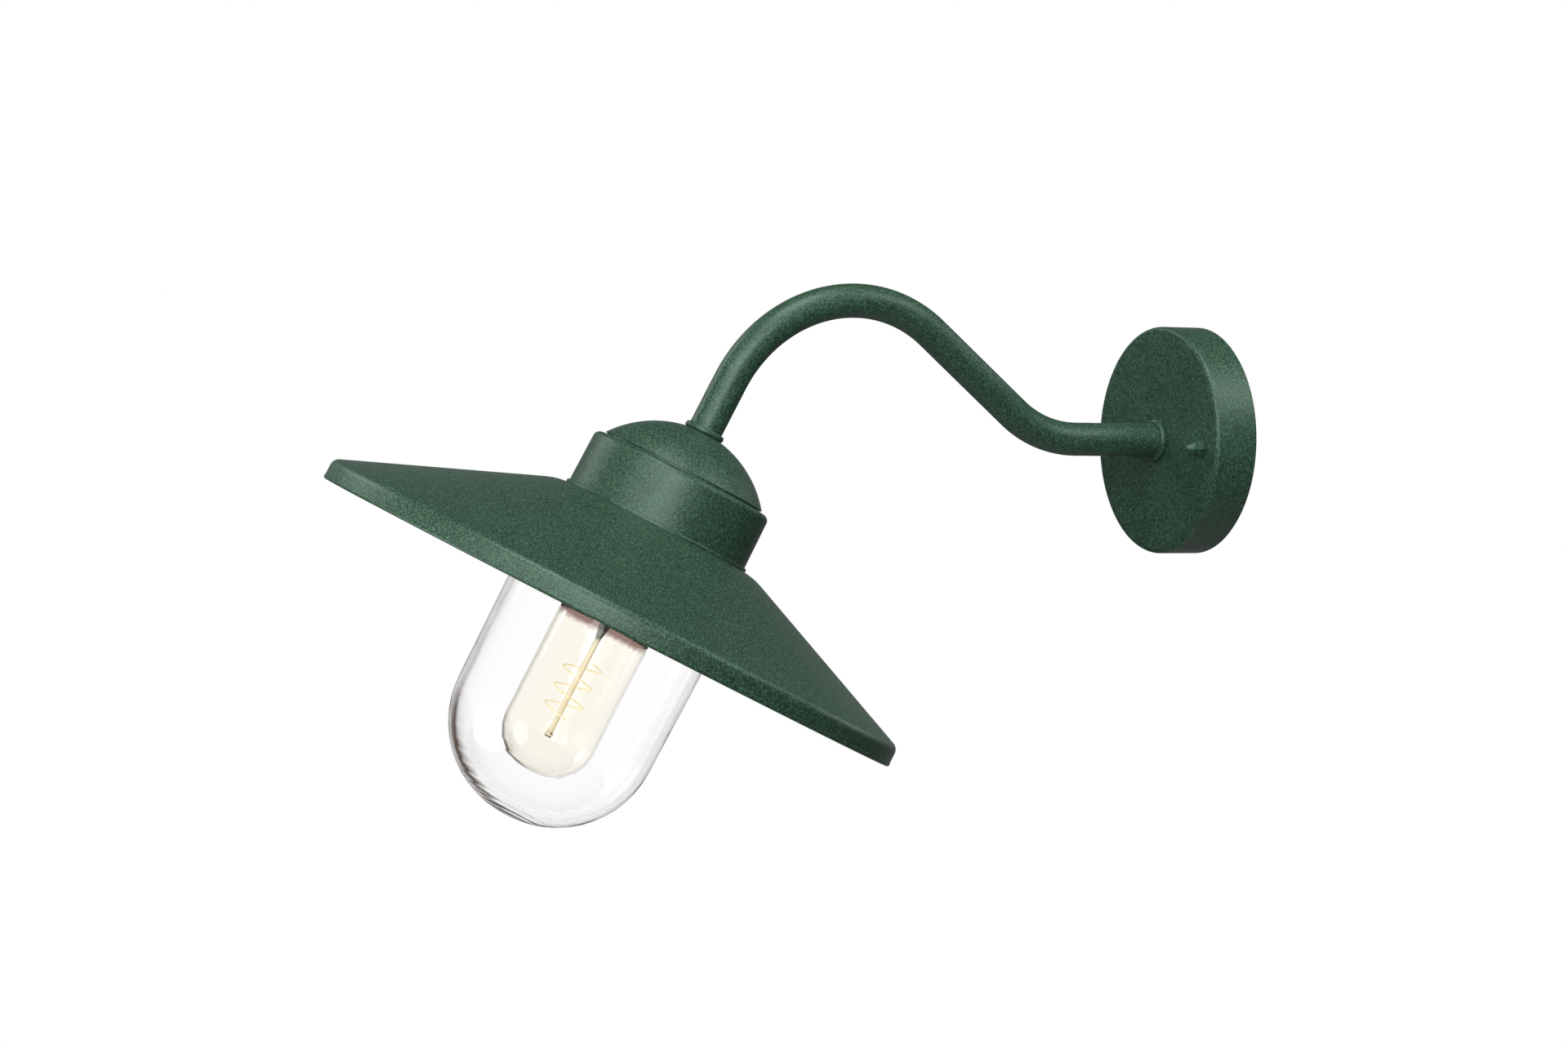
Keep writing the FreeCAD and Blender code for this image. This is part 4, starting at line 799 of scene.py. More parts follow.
def settle(name: str, mesh: bpy.types.Mesh, finish: Finish, body: str,
           sharp: float = 32.0) -> None:
    """Make a finished piece from a mesh that is in place, and let it ride on its body.

    Args:
        name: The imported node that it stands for.
        mesh: Its mesh, in the model's frame.
        finish: What it is finished in.
        body: The body that it rides on.
        sharp: Edges that turn by more degrees than this stay sharp.
    """
    mesh.materials.clear()
    mesh.materials.append(finish.material())
    mesh.shade_smooth()
    mesh.set_sharp_from_angle(angle=math.radians(sharp))
    piece = bpy.data.objects.new(name + "_look", mesh)
    bpy.context.scene.collection.objects.link(piece)
    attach(piece, body)
    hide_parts(name)
    log.info("%-20s %-22s %6d faces on %s", piece.name, finish.name, len(mesh.polygons), body)


def plain_mesh(name: str, shape: Shape) -> bpy.types.Mesh:
    """Keep a shape as a mesh.

    Args:
        name: The mesh's name.
        shape: The shape, which is used up.

    Returns:
        The mesh.
    """
    mesh = bpy.data.meshes.new(name)
    shape.to_mesh(mesh)
    shape.free()
    return mesh


def add_piece(name: str, shape: Shape, place: Place, finish: Finish, body: str = "root") -> None:
    """Place a shape, and make a finished piece of it.

    Args:
        name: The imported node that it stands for.
        shape: Its shape in a local frame, in millimetres.
        place: That local frame.
        finish: What it is finished in.
        body: The body that it rides on.
    """
    bmesh.ops.transform(shape, matrix=place.matrix(), verts=shape.verts)
    settle(name, plain_mesh(name, shape), finish, body)


def recolour(finish: Finish, *nodes: str) -> None:
    """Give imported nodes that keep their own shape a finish.

    Args:
        finish: The finish.
        *nodes: Names of the nodes.
    """
    for node in nodes:
        mesh = frame["nodes"][node].data
        mesh.materials.clear()
        mesh.materials.append(finish.material())
        log.info("%-20s %-22s kept as packed", node, finish.name)


def grow(name: str, tree: Tree, base: bpy.types.ID, values: dict[str, float]) -> bpy.types.Mesh:
    """Run a Geometry Nodes tree on some base and keep the result as a plain mesh.

    Args:
        name: Name of the mesh.
        tree: The tree.
        base: A mesh or curve that the tree starts from.
        values: The tree's named inputs.

    Returns:
        The mesh that the tree makes.
    """
    holder = bpy.data.objects.new(name + "_base", base)
    bpy.context.scene.collection.objects.link(holder)
    modifier = holder.modifiers.new("grow", "NODES")
    modifier.node_group = tree
    for item in tree.interface.items_tree:
        if item.item_type == "SOCKET" and item.in_out == "INPUT" and item.name in values:
            modifier[item.identifier] = values[item.name]
    seen = bpy.context.evaluated_depsgraph_get()
    mesh = bpy.data.meshes.new_from_object(holder.evaluated_get(seen))
    holder.modifiers.remove(modifier)
    bpy.data.objects.remove(holder)
    mesh.name = name
    return mesh


def new_tree(name: str, inputs: Sequence[str]) -> tuple[Tree, Node]:
    """Start a Geometry Nodes tree with a geometry input and named number inputs.

    Args:
        name: The tree's name.
        inputs: Names of its number inputs.

    Returns:
        The tree and its input node.
    """
    tree = bpy.data.node_groups.new(name, "GeometryNodeTree")
    tree.interface.new_socket("Geometry", in_out="INPUT", socket_type="NodeSocketGeometry")
    for label in inputs:
        tree.interface.new_socket(label, in_out="INPUT", socket_type="NodeSocketFloat")
    tree.interface.new_socket("Geometry", in_out="OUTPUT", socket_type="NodeSocketGeometry")
    return tree, add_node(tree, "NodeGroupInput")


def end_tree(tree: Tree, geometry: Socket, finish: Finish) -> None:
    """End a tree with real geometry in its finish.

    Args:
        tree: The tree.
        geometry: What it has made so far.
        finish: The finish.
    """
    real = add_node(tree, "GeometryNodeRealizeInstances", {"Geometry": geometry})
    smooth = add_node(tree, "GeometryNodeSetShadeSmooth", {"Geometry": real.outputs["Geometry"]})
    dressed = add_node(tree, "GeometryNodeSetMaterial", {
        "Geometry": smooth.outputs["Geometry"], "Material": finish.material()})
    add_node(tree, "NodeGroupOutput", {"Geometry": dressed.outputs["Geometry"]})


def wire_tree(finish: Finish, sides: int) -> Tree:
    """A tree that gives a path a round section, with its ends closed.

    Args:
        finish: What the wire or tube is finished in.
        sides: Stretches round the section.

    Returns:
        The tree, with the input Radius.
    """
    tree, source = new_tree("round_" + finish.name, ["Radius"])
    section = add_node(tree, "GeometryNodeCurvePrimitiveCircle", {
        "Resolution": sides, "Radius": source.outputs["Radius"]})
    tube = add_node(tree, "GeometryNodeCurveToMesh", {
        "Curve": source.outputs["Geometry"], "Profile Curve": section.outputs["Curve"],
        "Fill Caps": True})
    end_tree(tree, tube.outputs["Mesh"], finish)
    return tree


def path_curve(name: str, points: Sequence[Vector]) -> bpy.types.Curve:
    """A curve of straight stretches through points, in the units of the points.

    Args:
        name: The curve's name.
        points: The points.

    Returns:
        The curve.
    """
    curve = bpy.data.curves.new(name, "CURVE")
    curve.dimensions = "3D"
    spline = curve.splines.new("POLY")
    spline.points.add(len(points) - 1)
    for target, point in zip(spline.points, points):
        target.co = (*point, 1.0)
    return curve


def add_wire(name: str, points: Sequence[Vector], radius: float, place: Place | None,
             finish: Finish, body: str, sides: int) -> None:
    """A round wire or tube along a path, as a finished piece.

    Args:
        name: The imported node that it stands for.
        points: The path, in millimetres.
        radius: Radius of the wire.
        place: The local frame of the path, or None for the model's own frame.
        finish: What it is finished in.
        body: The body that it rides on.
        sides: Stretches round the wire.
    """
    mesh = grow(name, wire_tree(finish, sides), path_curve(name, points), {"Radius": radius})
    mesh.transform(place.matrix() if place else Matrix.Scale(MM, 4))
    settle(name, mesh, finish, body, sharp=60.0)


def circle_tree(finish: Finish) -> Tree:
    """A tree that sets copies of its base round a circle, each turned to face outwards.

    Args:
        finish: What the copies are finished in.

    Returns:
        The tree, with the inputs Count, Circle and Start.
    """
    tree, source = new_tree("ring_of_" + finish.name, ["Count", "Circle", "Start"])
    count = add_node(tree, "GeometryNodeInputIndex")
    share = add_node(tree, "ShaderNodeMath", {
        0: count.outputs["Index"], 1: source.outputs["Count"]}, operation="DIVIDE")
    angle = add_node(tree, "ShaderNodeMath", {
        0: share.outputs["Value"], 1: 2 * math.pi, 2: source.outputs["Start"]},
        operation="MULTIPLY_ADD")
    turn = add_node(tree, "ShaderNodeCombineXYZ", {"Z": angle.outputs["Value"]})
    out = add_node(tree, "ShaderNodeCombineXYZ", {"X": source.outputs["Circle"]})
    spot = add_node(tree, "ShaderNodeVectorRotate", {
        "Vector": out.outputs["Vector"], "Angle": angle.outputs["Value"]}, rotation_type="Z_AXIS")
    spots = add_node(tree, "GeometryNodePoints", {
        "Count": source.outputs["Count"], "Position": spot.outputs["Vector"]})
    copies = add_node(tree, "GeometryNodeInstanceOnPoints", {
        "Points": spots.outputs["Points"], "Instance": source.outputs["Geometry"],
        "Rotation": turn.outputs["Vector"]})
    end_tree(tree, copies.outputs["Instances"], finish)
    return tree


def add_ring_of(name: str, shape: Shape, count: int, circle: float, start: float, place: Place,
                finish: Finish) -> None:
    """Copies of a shape round a circle, as one finished piece of the fixed body.

    Args:
        name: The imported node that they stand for.
        shape: One copy, on z.
        count: How many there are.
        circle: Radius of the circle that they stand on.
        start: Angle of the first one, in degrees.
        place: Their local frame.
        finish: What they are finished in.
    """
    values = {"Count": float(count), "Circle": circle, "Start": math.radians(start)}
    mesh = grow(name, circle_tree(finish), plain_mesh(name + "_one", shape), values)
    mesh.transform(place.matrix())
    settle(name, mesh, finish, "root")


# --- the wall end --------------------------------------------------------------------------

@dataclass
class WallEnd:
    """Wall plate, cap nuts, bracket and what joins the arm to them."""

    plate_radius: float = 55.0
    plate_depth: float = 22.5
    plate_edge: float = 2.0
    sheet: float = 1.2
    gasket: float = 1.0
    pipe_radius: float = 5.0
    pipe_bore: float = 3.6
    pipe_in_plug: float = 10.5
    pipe_in_plate: float = 6.8
    pipe_pitch: float = 1.0
    pipe_cut: float = 0.45
    chamfer: float = 0.4
    thread_skin: float = 0.1
    collar_radius: float = 10.0
    collar_height: float = 3.0
    collar_edge: float = 1.1
    stud_count: int = 2
    stud_apart: float = 82.5
    stud_angle: float = 4.5
    stud_radius: float = 2.0
    stud_foot: float = 0.2
    stud_reach: float = 6.0
    stud_pitch: float = 0.7
    stud_cut: float = 0.3
    stud_plain: float = 3.0
    nut_flats: float = 7.0
    nut_hex: float = 3.2
    nut_crown: float = 0.35
    nut_height: float = 9.0
    nut_dome: float = 2.9
    nut_tip: float = 1.1
    nut_straight: float = 2.0
    nut_overlap: float = 0.2
    lock_flats: float = 14.0
    lock_height: float = 3.0
    lock_crown: float = 0.5
    washer: float = 0.8

    @property
    def inside(self) -> float:
        """Height of the plate's inner face."""
        return self.plate_depth - self.sheet

    def build(self) -> None:
        """Make and dress every piece of the wall end."""
        add_piece("canopy", self.plate(), Place.WALL, POWDER)
        self.add_on_studs("cap_nuts", self.cap_nut(), POWDER)
        add_piece("wall_collar", collar(self.pipe_radius, self.collar_radius, self.collar_height,
                                        self.collar_edge, self.plate_depth), Place.WALL, POWDER)
        add_piece("wall_pipe", self.pipe(), Place.WALL, ZINC)
        foot = self.inside - self.washer - self.lock_height
        add_piece("wall_lock_nut", hexagon(self.lock_flats, foot, foot + self.lock_height,
                                           self.pipe_radius, self.lock_crown), Place.WALL, ZINC)
        self.add_on_studs("bracket_studs", self.stud(), ZINC)
        recolour(ZINC, "mounting_bracket", "wall_lock_washer", "wall_plug", "earth_screw",
                 "block_screw", "terminal_screws")
        recolour(ALUMINIUM, "earth_lug")
        recolour(BRASS, "terminal_barrels")
        recolour(POLYAMIDE, "terminal_block", "wall_bush")
        recolour(FOAM, "wall_gasket")
        recolour(BROWN_SHEATH, "live_core")
        recolour(BLUE_SHEATH, "neutral_core")
        recolour(EARTH_SHEATH, "earth_core")

    def add_on_studs(self, name: str, shape: Shape, finish: Finish) -> None:
        """One copy of a shape at each of the bracket's studs."""
        add_ring_of(name, shape, self.stud_count, self.stud_apart / 2, self.stud_angle, Place.WALL,
                    finish)

    def plate(self) -> Shape:
        """The drawn wall plate, open to the wall.

        Returns:
            The plate.
        """
        bore = self.pipe_radius + PIPE_PLAY
        inner = self.plate_radius - self.sheet
        return turned(outline([
            Corner(bore, self.inside), Corner(inner, self.inside, self.plate_edge - self.sheet),
            Corner(inner, self.gasket), Corner(self.plate_radius, self.gasket),
            Corner(self.plate_radius, self.plate_depth, self.plate_edge),
            Corner(bore, self.plate_depth),
        ], step=6.0), segments=256)

    def pipe(self) -> Shape:
        """The hollow pipe, threaded from end to end.

        Returns:
            The pipe.
        """
        low = self.inside - self.pipe_in_plate
        high = self.plate_depth + self.collar_height + self.pipe_in_plug
        mouth = self.pipe_radius - self.chamfer
        section = outline([
            Corner(self.pipe_bore, low), Corner(mouth, low),
            Corner(self.pipe_radius, low + self.chamfer),
            Corner(self.pipe_radius, high - self.chamfer), Corner(mouth, high),
            Corner(self.pipe_bore, high),
        ], step=self.pipe_pitch / THREAD_POINTS)
        thread = Thread(self.pipe_pitch, self.pipe_cut, low, high, self.pipe_pitch,
                        self.pipe_radius - self.thread_skin)
        return turned(section, segments=64, relief=thread)

    def cap_nut(self) -> Shape:
        """A domed nut, a hexagon below and a tapering cap above.

        Returns:
            The nut.
        """
        waist = self.plate_depth + self.nut_hex
        top = self.plate_depth + self.nut_height
        foot = waist - self.nut_overlap
        cap = turned(outline([
            Corner(0, foot), Corner(self.nut_dome, foot),
            Corner(self.nut_dome, waist + self.nut_straight, self.nut_tip),
            Corner(self.nut_tip, top, self.nut_tip / 2), Corner(0, top),
        ], closed=False), segments=64, closed=False)
        return joined([hexagon(self.nut_flats, self.plate_depth, waist, 0.0, self.nut_crown), cap])

    def stud(self) -> Shape:
        """A threaded stud from the bracket into its cap nut.

        Returns:
            The stud.
        """
        tip = self.plate_depth + self.stud_reach
        section = outline([
            Corner(0, self.stud_foot), Corner(self.stud_radius, self.stud_foot),
            Corner(self.stud_radius, tip - self.chamfer),
            Corner(self.stud_radius - self.chamfer, tip), Corner(0, tip),
        ], closed=False, step=self.stud_pitch / THREAD_POINTS)
        thread = Thread(self.stud_pitch, self.stud_cut, self.stud_plain, tip, self.stud_pitch,
                        self.stud_radius - self.thread_skin)
        return turned(section, segments=40, closed=False, relief=thread)


# --- the arm -------------------------------------------------------------------------------

@dataclass
class Arm:
    """The bent tube and the lead inside it."""

    tube_radius: float = 8.0
    wall_run: float = 68.0
    lower_bend: float = 58.0
    lower_turn: float = 38.0
    middle_run: float = 61.0
    upper_bend: float = 67.4
    upper_turn: float = 103.0
    head_run: float = 24.5
    wall_end: float = 25.5

    def centre_line(self) -> list[Vector]:
        """The tube's centre line, from the wall collar to the head collar.

        Returns:
            Its points, in the model's frame.
        """
        lower = self.lower_bend * math.tan(math.radians(self.lower_turn) / 2)
        upper = self.upper_bend * math.tan(math.radians(self.upper_turn) / 2)
        climb = lower + self.middle_run + upper
        fall = upper + self.head_run
        rise = math.radians(self.lower_turn)
        drop = math.radians(self.upper_turn - self.lower_turn)
        first = Vector((0, -self.wall_run - lower, 0))
        second = first + Vector((0, -math.cos(rise), math.sin(rise))) * climb
        end = second - Vector((0, math.cos(drop), math.sin(drop))) * fall
        start = Vector((0, -self.wall_end, 0))
        return rounded([start, first, second, end], [0, self.lower_bend, self.upper_bend, 0],
                       closed=False, turn=1.5)

    def build(self) -> None:
        """Make and dress the tube."""
        add_wire("arm_tube", self.centre_line(), self.tube_radius, None, POWDER, "root", sides=96)
        recolour(WHITE_SHEATH, "lamp_lead")


# --- the head ------------------------------------------------------------------------------

@dataclass
class Head:
    """Collar, dome, neck and shade, with what clamps them together."""

    pipe_radius: float = 5.0
    collar_radius: float = 9.6
    collar_height: float = 3.0
    collar_edge: float = 1.3
    dome_height: float = 97.0
    dome_centre: float = 48.0
    dome_radius: float = 50.0
    dome_wall: float = 2.0
    rebate: float = 0.95
    neck_radius: float = 45.0
    neck_draft: float = 0.4
    neck_top: float = 76.8
    neck_edge: float = 3.0
    neck_wall: float = 2.2
    flange: float = 2.0
    neck_hole: float = 36.5
    lip_proud: float = 1.1
    lip_height: float = 1.6
    # Radius of the lip's upper edge, as a share of how far it stands proud.
    lip_edge: float = 0.7
    shade_radius: float = 145.0
    shade_height: float = 49.3
    cone_angle: float = 22.6
    cone_foot: float = 9.7
    shoulder: float = 4.5
    crown: float = 30.0
    hem_proud: float = 0.2
    hem_height: float = 1.9
    hem_thick: float = 2.2
    hem_edge: float = 0.15
    # Radii of the fold's two lower edges, which leave a narrow flat between them.
    hem_fold: float = 1.1
    hem_inner: float = 1.0
    sheet: float = 1.2
    shade_hole: float = 37.2

    def build(self) -> None:
        """Make and dress every piece of the head."""
        add_piece("head_collar", collar(self.pipe_radius, self.collar_radius, self.collar_height,
                                        self.collar_edge, self.dome_height), Place.HEAD, POWDER)
        add_piece("dome_cap", self.dome(), Place.HEAD, POWDER)
        add_piece("neck_ring", self.neck(), Place.HEAD, POWDER)
        add_piece("shade", self.shade(), Place.HEAD, POWDER)
        recolour(ZINC, "head_plug", "head_pipe", "head_lock_washer", "head_lock_nut", "strap_nut",
                 "holder_strap")
        recolour(POLYAMIDE, "head_bush")
        recolour(FOAM, "shade_gasket")

    def dome(self) -> Shape:
        """Cast cap: part of a sphere, with a flat for the collar and a small rebate at its foot.

        Returns:
            The dome.
        """
        bore = self.pipe_radius + PIPE_PLAY
        inside = self.dome_height - self.dome_wall
        step_up = self.neck_top + self.rebate
        inner = arc_points(self.dome_centre, self.dome_radius - self.dome_wall, inside,
                           self.neck_top, 20)
        outer = arc_points(self.dome_centre, self.dome_radius, step_up, self.dome_height, 28)
        foot = outer[0].out - self.rebate
        return turned(outline([
            Corner(bore, self.dome_height), Corner(bore, inside), *inner,
            Corner(foot, self.neck_top), Corner(foot, step_up), *outer,
        ]), segments=192)

    def neck(self) -> Shape:
        """Cast drum with a thin lip at its foot and a rounded top edge.

        Returns:
            The drum.
        """
        top = self.neck_radius - self.neck_draft
        lip = self.neck_radius + self.lip_proud
        lip_top = self.shade_height + self.lip_height
        under = self.neck_top - self.flange
        return turned(outline([
            Corner(self.neck_radius - self.neck_wall, self.shade_height),
            Corner(lip, self.shade_height), Corner(lip, lip_top, self.lip_proud * self.lip_edge),
            Corner(self.neck_radius, lip_top), Corner(top, self.neck_top, self.neck_edge),
            Corner(self.neck_hole, self.neck_top), Corner(self.neck_hole, under),
            Corner(top - self.neck_wall, under, self.neck_edge - self.flange),
        ], step=8.0), segments=192)

    def shade(self) -> Shape:
        """Spun cone with an upright band and a folded hem.

        Returns:
            The shade.
        """
        slope = math.radians(self.cone_angle)
        crown = self.shade_radius - (self.shade_height - self.cone_foot) / math.tan(slope)
        inner_foot = self.cone_foot - self.sheet * math.tan(math.pi / 4 - slope / 2)
        inner_crown = crown - self.sheet * math.tan(slope / 2)
        under = self.shade_height - self.sheet
        inside = self.shade_radius - self.sheet
        hem = self.shade_radius + self.hem_proud
        fold = hem - self.hem_thick
        return turned(outline([
            Corner(self.shade_hole, self.shade_height), Corner(self.shade_hole, under),
            Corner(inner_crown, under, self.crown - self.sheet),
            Corner(inside, inner_foot, self.shoulder - self.sheet),
            Corner(inside, self.hem_height), Corner(fold, self.hem_height),
            Corner(fold, 0, self.hem_inner), Corner(hem, 0, self.hem_fold),
            Corner(hem, self.hem_height, self.hem_edge),
            Corner(self.shade_radius, self.hem_height),
            Corner(self.shade_radius, self.cone_foot, self.shoulder),
            Corner(crown, self.shade_height, self.crown),
        ], step=10.0), segments=320)


# --- glass and lampholder ------------------------------------------------------------------

@dataclass
class Jar:
    """The clear jar, the ring that it screws into, and the ring's screws."""

    neck_radius: float = 33.5
    neck_edge: float = 3.0
    neck_top: float = 57.06
    mouth_edge: float = 0.8
    shoulder_height: float = 38.0
    shoulder_edge: float = 15.0
    shoulder_radius: float = 50.5
    foot_radius: float = 48.1
    depth: float = 99.2
    foot_edge: float = 47.6
    wall: float = 3.0
    pitch: float = 4.0
    thread_cut: float = 0.9
    thread_fade: float = 2.0
    # How far the thread keeps from the neck's foot, and how deep its skin is.
    thread_clear: float = 1.0
    flange_low: float = 44.6
    screw_count: int = 3
    screw_circle: float = 40.0
    screw_start: float = 90.0

    def build(self) -> None:
        """Make and dress the jar and its ring."""
        add_piece("glass_jar", self.jar(), Place.HEAD, PRESSED_GLASS, "glass")
        screw = CrossScrew().shape()
        bmesh.ops.rotate(screw, matrix=Matrix.Rotation(math.pi, 3, "X"), verts=screw.verts)
        bmesh.ops.translate(screw, vec=(0, 0, self.flange_low), verts=screw.verts)
        add_ring_of("gallery_screws", screw, self.screw_count, self.screw_circle,
                    self.screw_start, Place.HEAD, ZINC)
        recolour(ZINC, "gallery_ring")
        recolour(SILICONE, "glass_gasket")

    def jar(self) -> Shape:
        """Thick glass with a straight threaded neck, a round shoulder and a round end.

        Returns:
            The jar.
        """
        wall = self.wall
        neck = self.neck_radius
        under = self.shoulder_height - wall
        section = outline([
            Corner(0, wall - self.depth),
            Corner(self.foot_radius - wall, wall - self.depth, self.foot_edge - wall),
            Corner(self.shoulder_radius - wall, under, self.shoulder_edge - wall),
            Corner(neck - wall, under, self.neck_edge + wall),
            Corner(neck - wall, self.neck_top, self.mouth_edge),
            Corner(neck, self.neck_top, self.mouth_edge),
            Corner(neck, self.shoulder_height, self.neck_edge),
            Corner(self.shoulder_radius, self.shoulder_height, self.shoulder_edge),
            Corner(self.foot_radius, -self.depth, self.foot_edge), Corner(0, -self.depth),
        ], closed=False, step=2.0)
        low = self.shoulder_height + self.neck_edge + self.thread_clear
        thread = Thread(self.pitch, self.thread_cut, low, self.neck_top, self.thread_fade,
                        neck - self.thread_clear, sharp=False)
        return turned(section, segments=256, closed=False, relief=thread)


@dataclass
class Holder:
    """The moulded lampholder with its screw shell."""

    radius: float = 19.5
    wall: float = 2.2
    mouth: float = 8.0
    mouth_radius: float = 14.2
    joint: float = 46.0
    edge: float = 1.1
    flute_count: int = 30
    flute_cut: float = 0.5
    flute_fade: float = 1.5
    flute_skin: float = 0.2
    band_low: float = 4.0
    band_high: float = 8.0

    def build(self) -> None:
        """Make and dress the lampholder."""
        add_piece("holder_body", self.case(), Place.HEAD, BAKELITE)
        recolour(BAKELITE, "holder_cap")
        recolour(STEATITE, "holder_core")
        recolour(BRASS, "centre_contact", "holder_terminals", "thread_shell")
        recolour(BROWN_SHEATH, "holder_cores")

    def flutes(self, share: float, out: float, up: float) -> float:
        """Shallow upright flutes for the fingers, between two plain bands.

        Args:
            share: Angle round the axis, in turns.
            out: Radius of the plain surface.
            up: Height.

        Returns:
            Amount to add to the radius.
        """
        ends = min(up - self.mouth - self.band_low, self.joint - self.band_high - up)
        if out < self.radius - self.flute_skin or ends <= 0:
            return 0.0
        wave = 0.5 - 0.5 * math.cos(2 * math.pi * self.flute_count * share)
        return -self.flute_cut * min(1.0, ends / self.flute_fade) * wave

    def case(self) -> Shape:
        """The lower half of the case.

        Returns:
            The half case.
        """
        inner = self.radius - self.wall
        floor = self.mouth + self.wall
        return turned(outline([
            Corner(self.mouth_radius, self.mouth), Corner(self.radius, self.mouth, self.edge),
            Corner(self.radius, self.joint), Corner(inner, self.joint),
            Corner(inner, floor), Corner(self.mouth_radius, floor),
        ], step=1.5), segments=240, relief=self.flutes)


# --- the light bulb ------------------------------------------------------------------------

@dataclass
class Bulb:
    """Tubular bulb with its cap, stem and spiral filament."""

    radius: float = 22.5
    depth: float = 76.5
    wall: float = 0.8
    end_round: float = 20.0
    shoulder_height: float = 5.2
    shoulder_round: float = 9.0
    neck_radius: float = 12.2
    cap_radius: float = 13.0
    cap_wall: float = 0.5
    cap_foot: float = 6.7
    cap_shoulder: float = 26.5
    cap_edge: float = 1.1
    cap_top: float = 29.4
    cap_top_radius: float = 9.0
    pitch: float = 3.629
    thread_cut: float = 1.1
    thread_clear: float = 2.0
    thread_skin: float = 0.1
    stem_flare: float = 8.5
    stem_edge: float = 0.3
    flare_round: float = 4.0
    rod_round: float = 8.0
    rod: float = 1.4
    stem_end: float = 59.0
    bead: float = 2.0
    bead_round: float = 0.5
    coil_radius: float = 8.5
    coil_top: float = 20.0
    coil_pitch: float = 9.3
    coil_turns: int = 3
    coil_points: int = 48
    coil_wire: float = 0.36

    def build(self) -> None:
        """Make and dress the bulb."""
        add_piece("bulb_glass", self.envelope(), Place.HEAD, BLOWN_GLASS, "bulb")
        add_piece("bulb_cap", self.cap(), Place.HEAD, ALUMINIUM, "bulb")
        add_piece("bulb_stem", self.stem(), Place.HEAD, AMBER_GLASS, "bulb")
        add_wire("filament", self.winding(), self.coil_wire, Place.HEAD, COATED_WIRE, "bulb",
                 sides=12)
        recolour(COATED_WIRE, "filament_supports")
        recolour(VITRITE, "bulb_insulator")
        recolour(ALUMINIUM, "bulb_contact")

    def envelope(self) -> Shape:
        """The blown glass tube with its round end.

        Returns:
            The glass.
        """
        wall = self.wall
        inner = self.radius - wall
        throat = self.neck_radius - wall
        return turned(outline([
            Corner(0, wall - self.depth),
            Corner(inner, wall - self.depth, self.end_round - wall),
            Corner(inner, self.shoulder_height - wall, self.shoulder_round - wall),
            Corner(throat, self.shoulder_height), Corner(throat, self.neck_radius),
            Corner(self.neck_radius, self.neck_radius),
            Corner(self.neck_radius, self.shoulder_height + wall),
            Corner(self.radius, self.shoulder_height, self.shoulder_round),
            Corner(self.radius, -self.depth, self.end_round), Corner(0, -self.depth),
        ], closed=False, step=3.0), segments=192, closed=False)

    def cap(self) -> Shape:
        """The screw cap, its round thread rolled into thin strip.

        Returns:
            The cap.
        """
        inner = self.cap_radius - self.cap_wall
        throat = self.cap_top_radius - self.cap_wall
        section = outline([
            Corner(inner, self.cap_foot), Corner(self.cap_radius, self.cap_foot),
            Corner(self.cap_radius, self.cap_shoulder, self.cap_edge),
            Corner(self.cap_top_radius, self.cap_top), Corner(throat, self.cap_top),
            Corner(throat, self.cap_top - self.cap_wall),
            Corner(inner, self.cap_shoulder - self.cap_wall),
        ], step=self.pitch / (2 * THREAD_POINTS))
        thread = Thread(self.pitch, self.thread_cut, self.cap_foot + self.thread_clear,
                        self.cap_shoulder, self.pitch / 2, inner - self.thread_skin, sharp=False)
        return turned(section, segments=96, relief=thread)

    def stem(self) -> Shape:
        """Flared foot, slim rod and a small bead at its end.

        Returns:
            The stem.
        """
        flare = self.stem_flare
        rod = self.rod
        return turned(outline([
            Corner(0, flare), Corner(flare, flare),
            Corner(flare, flare - self.wall, self.stem_edge),
            Corner(rod * 2, -rod, self.flare_round), Corner(rod, -flare, self.rod_round),
            Corner(rod, rod * 2 - self.stem_end, self.bead_round),
            Corner(self.bead, rod - self.stem_end, rod / 2),
            Corner(rod, -self.stem_end, self.stem_edge), Corner(0, -self.stem_end),
        ], closed=False, step=4.0), segments=48, closed=False)

    def winding(self) -> list[Vector]:
        """Centre line of the spiral filament, from its top end down.

        Returns:
            Its points, in the head's frame.
        """
        steps = self.coil_turns * self.coil_points
        made = []
        for step in range(steps + 1):
            turns = self.coil_turns * step / steps
            angle = 2 * math.pi * turns
            made.append(Vector((self.coil_radius * math.cos(angle),
                                self.coil_radius * math.sin(angle),
                                -self.coil_top - self.coil_pitch * turns)))
        return made


# --- studio --------------------------------------------------------------------------------

@dataclass(frozen=True)
class SoftBox:
    """A round soft lamp that faces the object.

    It stands at a turn and a rise, in degrees, from the camera as the object sees it. Its level is
    the light that it throws on the object, where pi is what makes white paper white.
    """

    name: str
    turn: float
    rise: float
    across: float
    level: float
    distance: float = 2200.0


